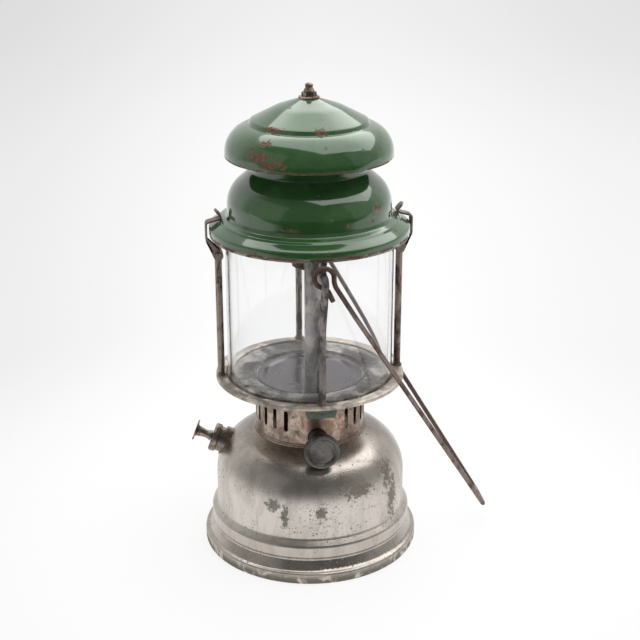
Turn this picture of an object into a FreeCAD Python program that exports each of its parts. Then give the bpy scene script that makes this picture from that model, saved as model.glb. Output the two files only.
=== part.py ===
import FreeCAD, Part
import math
import os
from FreeCAD import Placement, Rotation, Vector

# Kerosene pressure lantern. Millimetres, +Z up, origin at the centre of the fount's foot on the
# surface it stands on. The valve knob faces -Y, the pump points to -X, the filler is behind and
# the carrying bail leans down on +X.

# Fount, the fuel tank
fount_sheet = 1.0
fount_height = 92.2
dome_width = 30.4
shoulder_radius = 35.0
dome_slope = 22.0
foot_step = 10.0
foot_height = 8.4
foot_curl = 3.4
foot_round = 1.6
foot_shelf = 3.2
foot_shelf_rise = 1.2
bead_depth = 4.4
bead_bottom = 17.0
bead_height = 10.3
bead_lead = 1.4
bead_round = 2.2
bead_shoulder = 4.6
fount_fold = 3.0
crown_edge = 0.3
pan_flange = 6.0
pan_border = 9.0
pan_rise = 4.0
pan_fold = 1.5
seam_clearance = 0.1

# Filler on the back of the dome
filler_inset = 16.0
filler_tilt = 32.0
filler_bore = 7.2
filler_wall = 2.3
filler_neck = 7.0
filler_depth = 4.0
filler_flange = 2.0
filler_flange_height = 1.4
filler_thread_gap = 0.08
gasket_height = 1.6
gasket_inset = 0.3
filler_cap_wall = 2.22
filler_cap_top = 2.4
filler_cap_lift = 0.4
filler_cap_notch = 0.7
filler_notches = 20

# Pump on the left shoulder
pump_azimuth = 167.5
pump_slope = 20.0
pump_inset = 5.5
barrel_radius = 8.3
barrel_wall = 0.8
barrel_length = 84.0
pump_neck_wall = 1.3
pump_neck_length = 8.6
pump_neck_depth = 10.0
pump_ring_width = 1.7
pump_ring_height = 1.6
pump_thread_pitch = 1.3
pump_cap_gap = 0.1
pump_cap_wall = 1.2
pump_cap_height = 5.4
pump_cap_top = 1.6
pump_cap_lift = 0.2
pump_rod_radius = 2.5
pump_rod_play = 0.08
pump_knob_gap = 0.3
pump_knob_length = 13.6
pump_knob_radius = 8.0
pump_knob_edge = 1.2
pump_knob_waist = 3.2
pump_knob_foot = 1.2
leather_play = 0.08
leather_height = 5.5
leather_wall = 1.2
washer_height = 1.0
washer_gap = 1.5
pump_nut_flats = 7.0
pump_nut_height = 2.6

# Check valve at the barrel's inner end
piston_clearance = 12.0
check_length = 11.0
check_orifice = 1.0
check_bore = 3.0
check_floor = 1.0
check_roof = 2.0
check_pip_gap = 0.4
check_pip_height = 2.2
check_seat_gap = 0.05
spring_mean = 1.9
spring_wire = 0.5
spring_turns = 4

# Valve, generator and burner; valve and generator stand forward of the axis
boss_radius = 9.0
boss_wall = 1.5
boss_height = 2.0
boss_depth = 5.0
valve_wall = 5.1
valve_height = 27.0
pickup_radius = 2.4
pickup_wall = 0.6
pickup_clearance = 6.0
strainer_wall = 1.6
strainer_height = 14.0
strainer_tail = 1.0
spindle_rise = 8.0
spindle_radius = 2.5
spindle_play = 0.06
spindle_tip_gap = 0.6
valve_arm_wall = 3.04
valve_arm_length = 11.0
gland_flats = 11.0
gland_length = 7.5
gland_gap = 2.0
hub_clearance = 1.8
hub_radius = 6.6
stem_clearance = 0.6
knob_stand_off = 19.5
knob_radius = 13.0
knob_height = 7.0
knob_dish = 1.5
knob_rim = 2.2
knob_socket = 1.0
knob_chamfer = 2.0
knob_notch = 0.6
knob_notches = 36
generator_radius = 6.4
generator_wall = 0.9
generator_height = 120.0
jet_height = 6.0
pricker_radius = 0.9
pricker_travel = 4.0
pricker_play = 0.3
pricker_foot_gap = 0.4
burner_gap = 0.6
burner_height = 18.0
burner_wall = 1.2
burner_rim = 1.5
burner_taper = 4.0
burner_roof = 2.0
nozzle_height = 5.0
nozzle_stand_out = 1.0
nozzle_hole = 1.4
nozzle_holes = 8

# Collar, gallery and the cup under its front
collar_radius = 41.3
collar_sheet = 0.8
collar_height = 41.2
slot_width = 3.4
slot_height = 16.5
slot_bottom = 10.8
slot_first = 33.0
slot_group = 108.8
slots_per_group = 9
foot_ring_step = 0.65
foot_ring_height = 2.1
foot_ring_ledge = 0.9
foot_ring_play = 0.05
gallery_sheet = 0.9
gallery_lift = 4.1
gallery_rim_height = 2.7
gallery_inner_drop = 0.3
gallery_seat_gap = 0.2
gallery_edge = 1.2
gallery_fold = 1.0
groove_depth = 2.2
groove_play = 0.75
groove_flare = 0.5
gallery_ledge_width = 3.4
gallery_ledge_inset = 1.9
gallery_ledge_slope = 2.4
gallery_dip = 1.0
disc_play = 1.0
disc_sheet = 0.7
disc_border = 4.2
disc_step = 2.4
disc_step_depth = 1.3
disc_dish = 2.2
disc_hole_gap = 0.3
cup_top_width = 25.0
cup_bottom_width = 20.0
cup_height = 9.0
cup_stand_off = 1.6
cup_seat_gap = 0.15
cup_sheet = 1.0

# Cage of four uprights with the ring on top
upright_radius = 2.6
upright_gap = 2.45
upright_foot = 2.6
upright_play = 0.05
eyelet_width = 1.1
eyelet_height = 1.1
cage_ring_play = 0.85
cage_ring_edge = 3.0
cage_ring_sheet = 1.2
hook_drop = 9.7
hook_lean = 44.0
hook_lean_bend = 45.0
hook_reach = 17.4
hook_bend = 4.2
hook_return = 1.2
hook_return_bend = 3.6

# Spring clips that hold the hood down
clip_drop = 14.2
clip_width = 8.0
clip_sheet = 1.2
clip_root = 2.2
clip_root_rise = 2.6
clip_stand_off = 1.5
clip_shoulder = 11.0
clip_over_lip = 1.6
clip_inset = 9.7
clip_heel_rise = 4.93
clip_finger = 10.4
clip_finger_angle = 44.0
clip_bends = [5.0, 1.8, 1.1]
ear_radius = 3.7
ear_gap = 0.2
ear_width = 2.4
rivet_radius = 1.2
rivet_head_radius = 2.4
rivet_head_height = 1.0
rivet_head_gap = 0.15
rivet_play = 0.08

# Globe
globe_radius = 61.75
globe_wall = 2.5
globe_height = 121.6

# Hood
hood_sheet = 0.9
hood_gap = 0.3
hood_over_globe = 9.7
hood_overhang = 0.7
hood_lip = 5.6
flange_rise = 3.7
flange_fold = 1.2
ridge_gap = 3.45
ridge_rise = 1.5
bulge_inset = 5.5
bulge_flare = 1.0
bulge_step = 1.3
bulge_foot = 2.7
bulge_shoulder = 24.0
bulge_slope = 40.0
hood_fold = 1.6
hood_height = 46.1
neck_outer = 42.4
neck_height = 20.7
neck_fold = 2.0

# Bridge across the neck, stud, cap and finial
bridge_width = 10.0
bridge_sheet = 1.6
bridge_drop = 3.0
bridge_tab = 8.0
bridge_play = 0.05
stud_radius = 2.0
stud_play = 0.3
stud_head_flats = 7.0
stud_head_height = 3.0
spacer_wall = 2.0
spacer_gap = 0.15
cap_sheet = 0.9
cap_overlap = 11.0
cap_radius = 60.5
cap_curl = 1.4
cap_skirt_fold = 0.95
cap_shoulder = 20.5
cap_slope = 10.0
cap_crease = 43.2
cap_height = 23.1
crown_step = 3.0
crown_step_in = 1.4
crown_rise = 14.6
crown_knee = 23.76
crown_knee_drop = 5.4
crown_bend = 40.0
finial_gap = 0.05
finial_washer_radius = 7.5
finial_washer_height = 1.5
finial_flats = 9.4
finial_hex = 2.8
finial_taper = 3.6
finial_bead = 2.9
finial_bead_height = 3.0
finial_waist = 0.4

# Carrying bail
bail_radius = 1.75
bail_stand_off = 9.2
bail_eye_radius = 6.75
bail_eye_turn = 240.0
bail_lean = 58.5
bail_length = 255.0
bail_drop = 5.0
bail_straight = 30.0
bail_grip = 28.0
bail_grip_bend = 9.0
bail_leg_bend = 14.0
tail_first = 7.0
tail_second = 8.4
tail_slope = 66.0
tail_bend = 4.0

# Radii and levels that follow from the sizes above
crown_radius = collar_radius + crown_edge
wall_radius = crown_radius + dome_width
foot_radius = wall_radius + foot_step
bead_radius = wall_radius + bead_depth
dome_corner = fount_height - (wall_radius - crown_radius) * math.tan(math.radians(dome_slope))
upright_circle = globe_radius + upright_gap + upright_radius
gallery_radius = upright_circle + upright_radius + gallery_edge
cage_ring_radius = upright_circle + upright_radius + cage_ring_edge
hood_radius = cage_ring_radius + hood_overhang
hood_ridge = globe_radius + ridge_gap
bulge_radius = hood_ridge - bulge_inset
groove_outer = globe_radius + groove_play
groove_inner = globe_radius - globe_wall - groove_play
disc_radius = collar_radius - gallery_ledge_inset
bail_plane = upright_circle + bail_stand_off

collar_top = fount_height + collar_height
gallery_top = collar_top + gallery_lift
gallery_bottom = gallery_top - gallery_rim_height
ledge_top = collar_top + gallery_seat_gap + gallery_sheet
globe_seat = gallery_top - groove_depth
hood_bottom = globe_seat + globe_height - hood_over_globe
cage_ring_top = hood_bottom - hood_gap
cage_ring_bottom = cage_ring_top - cage_ring_sheet
lip_top = hood_bottom + hood_lip
neck_bottom = hood_bottom + hood_height
neck_top = neck_bottom + neck_height
bridge_top = neck_top - bridge_drop
cap_bottom = neck_top - cap_overlap
crease_height = cap_bottom + cap_height
crown_top = crease_height + crown_step + crown_rise
finial_base = crown_top + finial_gap
bail_height = cage_ring_bottom - hook_drop
clip_pivot = cage_ring_bottom - clip_drop

origin = Vector(0, 0, 0)
up = Vector(0, 0, 1)
full_turn = 360.0


# Straight edge between two points.
def straight(start, end):
    return Part.LineSegment(start, end).toShape()


# Length of run that each corner's arc takes up, cut back where two arcs would meet on a run.
def corner_reaches(points, radii):
    reaches = [0.0] * len(points)
    for index in range(1, len(points) - 1):
        back = points[index - 1] - points[index]
        ahead = points[index + 1] - points[index]
        reaches[index] = radii[index] / math.tan(back.getAngle(ahead) / 2)
    limits = [1.0] * len(points)
    for index in range(len(points) - 1):
        run = (points[index + 1] - points[index]).Length
        wanted = reaches[index] + reaches[index + 1]
        if wanted > run:
            limits[index] = min(limits[index], run / wanted)
            limits[index + 1] = min(limits[index + 1], run / wanted)
    return [reach * limit for reach, limit in zip(reaches, limits)]


# Open path through points, each inner corner rounded by its own radius (0 keeps it sharp).
def rounded_path(points, radii):
    reaches = corner_reaches(points, radii)
    edges = []
    last = points[0]
    for index in range(1, len(points) - 1):
        corner = points[index]
        reach = reaches[index]
        if reach == 0:
            edges.append(straight(last, corner))
            last = corner
            continue
        back = (points[index - 1] - corner).normalize()
        ahead = (points[index + 1] - corner).normalize()
        half = back.getAngle(ahead) / 2
        radius = reach * math.tan(half)
        middle = corner + (back + ahead).normalize() * (radius / math.sin(half) - radius)
        arc_start = corner + back * reach
        arc_end = corner + ahead * reach
        if (arc_start - last).Length > 1e-6:
            edges.append(straight(last, arc_start))
        edges.append(Part.Arc(arc_start, middle, arc_end).toShape())
        last = arc_end
    if (points[-1] - last).Length > 1e-6:
        edges.append(straight(last, points[-1]))
    return Part.Wire(edges)


# Path in the plane of the axis from (radius, height) pairs with an optional corner radius third.
def profile_path(points):
    vectors = [Vector(point[0], 0, point[1]) for point in points]
    radii = [point[2] if len(point) > 2 else 0 for point in points]
    return rounded_path(vectors, radii)


# The same outline moved to its left by a distance, with its corner radii grown or cut to match.
def moved_left(points, distance):
    directions = []
    for first, second in zip(points, points[1:]):
        run = Vector(second[0] - first[0], second[1] - first[1], 0)
        directions.append(run.normalize())
    normals = [Vector(-d.y, d.x, 0) for d in directions]
    moved = []
    for index, point in enumerate(points):
        before = normals[max(index - 1, 0)]
        after = normals[min(index, len(normals) - 1)]
        shift = (before + after) * (distance / (1 + before.dot(after)))
        radius = point[2] if len(point) > 2 else 0
        if radius and 0 < index < len(points) - 1:
            left_turn = directions[index - 1].cross(directions[index]).z > 0
            radius = max(radius - distance, 0) if left_turn else max(radius + distance, 0)
        moved.append((point[0] + shift.x, point[1] + shift.y, radius))
    if points[-1][0] == 0:
        last = directions[-1]
        end = moved[-1]
        moved[-1] = (0, end[1] - end[0] * last.y / last.x)
    return moved


# One closed wire from two open ones, the second running back beside the first.
def closed_loop(first, second):
    first_start = first.Edges[0].firstVertex().Point
    first_end = first.Edges[-1].lastVertex().Point
    second_start = second.Edges[0].firstVertex().Point
    second_end = second.Edges[-1].lastVertex().Point
    bridge = [straight(first_end, second_start)]
    return Part.Wire(first.Edges + bridge + second.Edges + [straight(second_end, first_start)])


# Section of a bent strip: the path is its one side, the other lies a thickness to its left.
def strip_section(points, thickness):
    outside = profile_path(points)
    inside = profile_path(moved_left(points, thickness)[::-1])
    return Part.Face(closed_loop(outside, inside))


# Pressed sheet: the path is its outside, walked from the lowest outer edge towards the axis.
def pressing(points, sheet):
    return strip_section(points, sheet).revolve(origin, up, full_turn)


# Turned piece from a closed section; the first point stays sharp.
def turned(points):
    section = Part.Face(profile_path(points + [points[0]]))
    return section.revolve(origin, up, full_turn)


# Upright cylinder between two heights, round a vertical line.
def post(radius, bottom, top, x=0, y=0):
    return Part.makeCylinder(radius, top - bottom, Vector(x, y, bottom))


# Upright tube between two heights.
def pipe(outer, inner, bottom, top, x=0, y=0):
    return post(outer, bottom, top, x, y).cut(post(inner, bottom, top, x, y))


# Cylinder along Y, centred on the plane of the axis.
def cross_pin(radius, length, x, z):
    return Part.makeCylinder(radius, length, Vector(x, -length / 2, z), Vector(0, 1, 0))


# Hexagonal prism standing on its bottom height.
def hexagon(flats, bottom, top):
    corner = flats / math.sqrt(3)
    angles = [math.radians(60 * k) for k in range(7)]
    points = [Vector(corner * math.cos(angle), corner * math.sin(angle), bottom) for angle in angles]
    return Part.Face(Part.makePolygon(points)).extrude(Vector(0, 0, top - bottom))


# Round wire swept along a path.
def wire_along(path, radius):
    first = path.Edges[0]
    start = first.valueAt(first.FirstParameter)
    tangent = first.tangentAt(first.FirstParameter)
    ring = Part.Wire(Part.makeCircle(radius, start, tangent))
    return path.makePipeShell([ring], True, False)


# The shape turned about the vertical axis.
def turned_about_z(shape, angle):
    copy = shape.copy()
    copy.rotate(origin, up, angle)
    return copy


# The shape with copies of a cutter taken out of it, evenly spaced about the axis.
def cut_round(shape, cutter, count):
    for index in range(count):
        shape = shape.cut(turned_about_z(cutter, index * full_turn / count))
    return shape


# A shape built about the origin, carried to another line.
def placed(shape, line):
    copy = shape.copy()
    copy.Placement = line.multiply(copy.Placement)
    return copy


# Height of the rounded shoulder of the fount at a distance from the axis.
def on_shoulder(radius):
    centre_radius = wall_radius - shoulder_radius
    centre_height = dome_corner - shoulder_radius * math.tan(math.radians((90 - dome_slope) / 2))
    return centre_height + math.sqrt(shoulder_radius ** 2 - (radius - centre_radius) ** 2)


# Placement of something built along +Z, outwards, on the filler's line.
filler_reach = wall_radius - filler_inset
filler_point = Vector(0, filler_reach, on_shoulder(filler_reach))
filler_line = Placement(filler_point, Rotation(Vector(1, 0, 0), -filler_tilt))

# Placement of something built along +Z, outwards, on the pump's line.
pump_reach = wall_radius - pump_inset
pump_heading = Vector(math.cos(math.radians(pump_azimuth)), math.sin(math.radians(pump_azimuth)), 0)
pump_point = pump_heading * pump_reach + up * on_shoulder(pump_reach)
pump_direction = pump_heading * math.cos(math.radians(pump_slope)) + up * math.sin(math.radians(pump_slope))
pump_line = Placement(pump_point, Rotation(up, pump_direction))

# Placement of something built along +Z, forwards, on the valve spindle's line.
spindle_height = fount_height + spindle_rise
spindle_line = Placement(Vector(0, 0, spindle_height), Rotation(up, Vector(0, -1, 0)))

# Radii on the filler's and the pump's lines
filler_outer = filler_bore + filler_wall
filler_cap_radius = filler_outer + filler_thread_gap + filler_cap_wall
pump_neck_radius = barrel_radius + pump_neck_wall
barrel_bore = barrel_radius - barrel_wall

# Places along the pump's line, from the dome outwards
pump_cap_ceiling = pump_neck_length + pump_cap_lift
pump_cap_face = pump_cap_ceiling + pump_cap_top
pump_knob_base = pump_cap_face + pump_knob_gap
pump_knob_face = pump_knob_base + pump_knob_length
barrel_end = pump_neck_length - barrel_length
check_top = barrel_end + check_length
piston_top = check_top + piston_clearance
spring_base = barrel_end + check_floor
check_seat = check_top - check_roof
pip_top = check_seat - check_seat_gap
pip_bottom = pip_top - check_pip_height

# Places along the spindle's line, from the axis forwards
gland_end = collar_radius - collar_sheet - gland_gap
gland_start = gland_end - gland_length
burner_offset = gland_start - valve_arm_length
knob_back = collar_radius + knob_stand_off
knob_front = knob_back + knob_height

# Heights of the valve, generator and burner
boss_bottom = fount_height - boss_depth
boss_top = fount_height + boss_height
valve_bottom = boss_bottom + boss_height
generator_bottom = fount_height + valve_height
generator_top = generator_bottom + generator_height
generator_bore = generator_radius - generator_wall
burner_bottom = generator_top - burner_height
burner_radius = burner_offset - generator_radius - burner_gap


# Outside of the fount from the foot up to the axis.
def fount_outline():
    foot_shoulder = foot_height + foot_shelf_rise
    bead_top = bead_bottom + bead_height
    return [(foot_radius - foot_curl, 0), (foot_radius, 0, foot_round),
            (foot_radius, foot_height, foot_round), (foot_radius - foot_shelf, foot_shoulder, fount_fold),
            (bead_radius - bead_lead, bead_bottom, bead_round),
            (bead_radius, bead_bottom + bead_round, bead_round), (bead_radius, bead_top, fount_fold),
            (wall_radius, bead_top + bead_shoulder, fount_fold), (wall_radius, dome_corner, shoulder_radius),
            (crown_radius, fount_height, fount_fold), (0, fount_height)]


# Solid that fills the fount and a skin of clearance over it.
def fount_body():
    points = moved_left(fount_outline(), -seam_clearance)
    return turned([(0, points[0][1])] + points)


# Soldered ring round a neck, its underside lying on the dome.
def saddle_ring(outer, inner, depth, height, line):
    return placed(pipe(outer, inner, -depth, height), line).cut(fount_body())


def make_fount_shell():
    shell = pressing(fount_outline(), fount_sheet)
    shell = shell.cut(placed(post(pump_neck_radius, -pump_neck_depth, pump_neck_length), pump_line))
    shell = shell.cut(placed(post(filler_outer, -filler_depth, filler_neck), filler_line))
    return shell.cut(post(boss_radius, boss_bottom, boss_top, 0, -burner_offset))


# Bottom pan: a flange inside the foot and a floor that rises to the centre.
def make_fount_pan():
    radius = foot_radius - fount_sheet - seam_clearance
    floor = fount_sheet + pan_flange
    outline = [(radius, foot_round + seam_clearance), (radius, floor, pan_fold),
               (radius - pan_border, floor, fount_fold), (0, floor + pan_rise)]
    return pressing(outline, fount_sheet)


def make_valve_boss():
    return pipe(boss_radius, boss_radius - boss_wall, boss_bottom, boss_top, 0, -burner_offset)


# Pickup tube with the strainer's basket round its lower end.
def make_pickup_tube():
    bottom = fount_sheet + pan_flange + pan_rise + pickup_clearance
    tube = pipe(pickup_radius, pickup_radius - pickup_wall, bottom, valve_bottom, 0, -burner_offset)
    strainer = pipe(pickup_radius + strainer_wall, pickup_radius, bottom - strainer_tail,
                    bottom + strainer_height, 0, -burner_offset)
    return tube.fuse(strainer).removeSplitter()


def make_filler_bush():
    tube = placed(pipe(filler_outer, filler_bore, -filler_depth, filler_neck), filler_line)
    ring = saddle_ring(filler_outer + filler_flange, filler_outer, filler_depth,
                       filler_flange_height, filler_line)
    return tube.fuse(ring).removeSplitter()


def make_filler_gasket():
    gasket = pipe(filler_outer - gasket_inset, filler_bore, filler_neck, filler_neck + gasket_height)
    return placed(gasket, filler_line)


def make_filler_cap():
    inner = filler_outer + filler_thread_gap
    ceiling = filler_neck + gasket_height
    top = ceiling + filler_cap_top
    bottom = filler_flange_height + filler_cap_lift
    cap = turned([(inner, bottom), (filler_cap_radius, bottom, gasket_inset), (filler_cap_radius, top, 1.0),
                  (0, top), (0, ceiling), (inner, ceiling)])
    notch = post(filler_cap_notch, bottom + filler_cap_notch, top, filler_cap_radius + filler_cap_notch / 3)
    return placed(cut_round(cap, notch, filler_notches), filler_line)


# Pump neck: threaded tube with a soldered ring at its root.
def make_pump_neck():
    tube = pipe(pump_neck_radius, barrel_radius, -pump_neck_depth, pump_neck_length)
    depth = pump_thread_pitch / 3
    crest = pump_neck_radius + depth
    groove = pump_ring_height + pump_thread_pitch / 2
    while groove < pump_neck_length - pump_thread_pitch / 2:
        cutter = turned([(crest, groove - depth), (crest, groove + depth),
                         (pump_neck_radius - depth / 2, groove)])
        tube = tube.cut(cutter)
        groove += pump_thread_pitch
    ring = saddle_ring(pump_neck_radius + pump_ring_width, pump_neck_radius, pump_neck_depth,
                       pump_ring_height, pump_line)
    return placed(tube, pump_line).fuse(ring).removeSplitter()


def make_pump_barrel():
    return placed(pipe(barrel_radius, barrel_bore, barrel_end, pump_neck_length), pump_line)


def make_pump_cap():
    inner = pump_neck_radius + pump_cap_gap
    outer = inner + pump_cap_wall
    hole = pump_rod_radius + pump_rod_play
    bottom = pump_cap_face - pump_cap_height
    cap = turned([(inner, bottom), (outer - pump_cap_wall / 2, bottom), (outer, bottom + pump_cap_wall, 0.9),
                  (outer, pump_cap_face, pump_cap_top), (hole, pump_cap_face), (hole, pump_cap_ceiling),
                  (inner, pump_cap_ceiling)])
    return placed(cap, pump_line)


# Pump knob: a waisted stem that widens to a flat disc.
def make_pump_knob():
    under_disc = pump_knob_face - pump_knob_edge
    flare = pump_knob_edge + 2 * pump_knob_waist
    knob = turned([(pump_rod_radius, pump_knob_base), (pump_knob_waist + pump_knob_foot, pump_knob_base, 0.4),
                   (pump_knob_waist, pump_knob_base + pump_knob_waist, 2 * pump_knob_waist),
                   (pump_knob_waist, pump_knob_face - flare, flare),
                   (pump_knob_radius - flare / 2, under_disc, 2.0),
                   (pump_knob_radius, under_disc, 0.3), (pump_knob_radius, pump_knob_face, 0.4),
                   (0, pump_knob_face), (0, under_disc), (pump_rod_radius, under_disc)])
    return placed(knob, pump_line)


def make_pump_rod():
    bottom = piston_top - washer_height - leather_wall - pump_nut_height
    return placed(post(pump_rod_radius, bottom, pump_knob_face - pump_knob_edge), pump_line)


def make_pump_washer():
    washer = pipe(barrel_bore - washer_gap, pump_rod_radius, piston_top - washer_height, piston_top)
    return placed(washer, pump_line)


# Leather cup, open towards the fount.
def make_pump_leather():
    outer = barrel_bore - leather_play
    top = piston_top - washer_height
    inside = top - leather_wall
    bottom = top - leather_height
    cup = turned([(pump_rod_radius, top), (outer, top, leather_wall), (outer, bottom),
                  (outer - leather_wall, bottom), (outer - leather_wall, inside), (pump_rod_radius, inside)])
    return placed(cup, pump_line)


def make_pump_nut():
    top = piston_top - washer_height - leather_wall
    nut = hexagon(pump_nut_flats, top - pump_nut_height, top)
    return placed(nut.cut(post(pump_rod_radius, top - pump_nut_height, top)), pump_line)


# Check valve body in the barrel's inner end: orifice above, spring chamber and outlet below.
def make_check_body():
    body = post(barrel_bore, barrel_end, check_top)
    body = body.cut(post(check_orifice, barrel_end, check_top))
    return placed(body.cut(post(check_bore, spring_base, check_seat)), pump_line)


def make_check_pip():
    return placed(post(check_bore - check_pip_gap, pip_bottom, pip_top), pump_line)


# One unbroken coil from half-turn arcs that climb evenly.
def make_check_spring():
    low = spring_base + spring_wire / 2
    high = pip_bottom - spring_wire / 2
    climb = (high - low) / (2 * spring_turns)

    def on_coil(halves):
        angle = math.pi * halves
        return Vector(spring_mean * math.cos(angle), spring_mean * math.sin(angle), low + climb * halves)

    edges = []
    for half in range(2 * spring_turns):
        edges.append(Part.Arc(on_coil(half), on_coil(half + 0.5), on_coil(half + 1)).toShape())
    print("check spring gap between turns", round(2 * climb - spring_wire, 2))
    return placed(wire_along(Part.Wire(edges), spring_wire / 2), pump_line)


# Valve body on the boss with a forward arm for the spindle.
def make_valve_body():
    body = post(boss_radius - boss_wall, valve_bottom, boss_top, 0, -burner_offset)
    body = body.fuse(post(pickup_radius + valve_wall, boss_top, generator_bottom, 0, -burner_offset))
    arm = placed(post(spindle_radius + valve_arm_wall, burner_offset, gland_start), spindle_line)
    body = body.fuse(arm).removeSplitter()
    passage = post(pickup_radius, valve_bottom, generator_bottom, 0, -burner_offset)
    bore = placed(post(spindle_radius + spindle_play, burner_offset, gland_start), spindle_line)
    return body.cut(passage).cut(bore)


def make_gland_nut():
    nut = hexagon(gland_flats, gland_start, gland_end)
    return placed(nut.cut(post(spindle_radius + spindle_play, gland_start, gland_end)), spindle_line)


def make_valve_spindle():
    tip = burner_offset + pickup_radius + spindle_tip_gap
    return placed(post(spindle_radius, tip, knob_back + knob_socket), spindle_line)


# Round knob with a notched rim, a dished face and a long hub behind.
def make_valve_knob():
    hub_back = gland_end + hub_clearance
    dish = knob_front - knob_dish
    knob = turned([(spindle_radius, hub_back), (hub_radius, hub_back, 0.6), (hub_radius, knob_back, 1.0),
                   (knob_radius - knob_chamfer, knob_back, 1.5), (knob_radius, knob_back + knob_chamfer, 1.0),
                   (knob_radius, knob_front, 1.2), (knob_radius - knob_rim, knob_front, 0.5),
                   (knob_radius - knob_rim - knob_dish, dish, 1.0), (0, dish), (0, knob_back + knob_socket),
                   (spindle_radius, knob_back + knob_socket)])
    notch = post(knob_notch, knob_back + knob_chamfer, knob_front - knob_dish / 2,
                 knob_radius + knob_notch / 3)
    return placed(cut_round(knob, notch, knob_notches), spindle_line)


# Upright tube from the valve to the elbow.
def make_generator_tube():
    return pipe(generator_radius, generator_bore, generator_bottom, generator_top, 0, -burner_offset)


def make_jet():
    middle = generator_bottom + jet_height / 2
    top = generator_bottom + jet_height
    body = post(generator_bore, generator_bottom, middle, 0, -burner_offset)
    body = body.fuse(post(generator_bore / 2, generator_bottom, top, 0, -burner_offset)).removeSplitter()
    return body.cut(post(pricker_radius + pricker_play, generator_bottom, top, 0, -burner_offset))


def make_pricker_rod():
    bottom = spindle_height + spindle_radius + pricker_foot_gap
    return post(pricker_radius, bottom, generator_bottom + jet_height - pricker_travel, 0, -burner_offset)


# Elbow that carries the gas from the tube over to the burner on the axis.
def make_mixing_elbow():
    half = burner_offset / 2
    start = Vector(0, -burner_offset, generator_top)
    crest = Vector(0, -half, generator_top + half)
    path = Part.Wire([Part.Arc(start, crest, up * generator_top).toShape()])
    return wire_along(path, generator_radius).cut(wire_along(path, generator_bore))


# Burner head: a bell under the elbow.
def make_burner_head():
    inner = burner_radius - burner_wall
    under_roof = generator_top - burner_roof
    return turned([(burner_radius, burner_bottom), (burner_radius, generator_top - burner_taper, 3.0),
                   (generator_radius + burner_rim, generator_top, 1.0), (generator_bore, generator_top),
                   (generator_bore, under_roof), (inner, under_roof - burner_taper, 2.0),
                   (inner, burner_bottom)])


# Ceramic nozzle plate pressed into the burner's mouth.
def make_burner_nozzle():
    bottom = burner_bottom - nozzle_stand_out
    plate = post(burner_radius - burner_wall, bottom, bottom + nozzle_height)
    hole = post(nozzle_hole, bottom, bottom + nozzle_height, burner_radius / 2)
    return cut_round(plate, hole, nozzle_holes)


# Bore for the valve knob's hub through the collar and the ring at its foot.
def stem_bore():
    return placed(post(hub_radius + stem_clearance, gland_end, knob_back), spindle_line)


# Slotted collar: a group of slots on each side, plain panels in front and behind.
def make_burner_collar():
    collar = pipe(collar_radius, collar_radius - collar_sheet, fount_height, collar_top)
    half = slot_width / 2
    low = fount_height + slot_bottom + half
    high = low + slot_height - slot_width
    start = collar_radius - 2 * collar_sheet
    depth = 3 * collar_sheet
    box = Part.makeBox(depth, slot_width, high - low, Vector(start, -half, low))
    ends = [Part.makeCylinder(half, depth, Vector(start, 0, z), Vector(1, 0, 0)) for z in (low, high)]
    slot = box.fuse(ends)
    pitch = slot_group / (slots_per_group - 1)
    for side in (1, -1):
        for index in range(slots_per_group):
            collar = collar.cut(turned_about_z(slot, side * (slot_first + index * pitch) - 90))
    return collar.cut(stem_bore())


# Stepped ring round the collar's foot, lying on the dome.
def make_collar_ring():
    slope = math.tan(math.radians(dome_slope))
    inner = collar_radius + foot_ring_play
    middle = inner + foot_ring_step
    outer = middle + foot_ring_step
    base = fount_height + (crown_radius - inner) * slope + seam_clearance
    ledge = base + foot_ring_ledge
    ring = turned([(inner, base), (outer, base - (outer - inner) * slope), (outer, ledge, 0.5),
                   (middle, ledge), (middle, base + foot_ring_height, 0.6), (inner, base + foot_ring_height)])
    return ring.cut(stem_bore())


# Gallery: rim, groove for the globe, and a ledge that lies on the collar and carries the disc.
def make_gallery_plate():
    slope_foot = disc_radius + disc_play
    outline = [(gallery_radius, gallery_bottom), (gallery_radius, gallery_top, gallery_fold),
               (groove_outer + groove_flare, gallery_top, gallery_fold),
               (groove_outer, globe_seat, gallery_sheet), (groove_inner, globe_seat, groove_flare),
               (groove_inner - groove_flare, gallery_top - gallery_inner_drop, gallery_fold),
               (slope_foot + gallery_ledge_slope, gallery_top - gallery_dip, gallery_fold),
               (slope_foot, ledge_top, gallery_fold), (disc_radius - gallery_ledge_width, ledge_top)]
    plate = pressing(outline, gallery_sheet)
    hole = post(upright_radius + upright_play, globe_seat, gallery_top, upright_circle)
    return cut_round(plate, hole, 4)


# Polished dished disc that closes the gallery round the generator tube.
def make_gallery_disc():
    level = ledge_top + disc_sheet
    border = disc_radius - disc_border
    disc = pressing([(disc_radius, level), (border, level, gallery_fold),
                     (border - disc_step, level - disc_step_depth, gallery_fold),
                     (0, level - disc_dish)], disc_sheet)
    hole = generator_radius + disc_hole_gap
    return disc.cut(post(hole, level - disc_dish - 2 * disc_sheet, level + disc_sheet, 0, -burner_offset))


# Shallow pressed cup under the groove's front, open at the top and against the collar.
def make_front_cup():
    top = globe_seat - gallery_sheet - cup_seat_gap
    back = collar_radius + cup_stand_off
    front = groove_outer

    def wedge(inset, height, depth):
        half_top = cup_top_width / 2 - inset
        half_bottom = cup_bottom_width / 2 - inset
        low = top - height
        points = [Vector(-half_top, -back, top), Vector(half_top, -back, top),
                  Vector(half_bottom, -back, low), Vector(-half_bottom, -back, low),
                  Vector(-half_top, -back, top)]
        return Part.Face(Part.makePolygon(points)).extrude(Vector(0, -depth, 0))

    hollow = wedge(cup_sheet, cup_height - cup_sheet, front - back - cup_sheet)
    return wedge(0, cup_height, front - back).cut(hollow)


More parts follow.
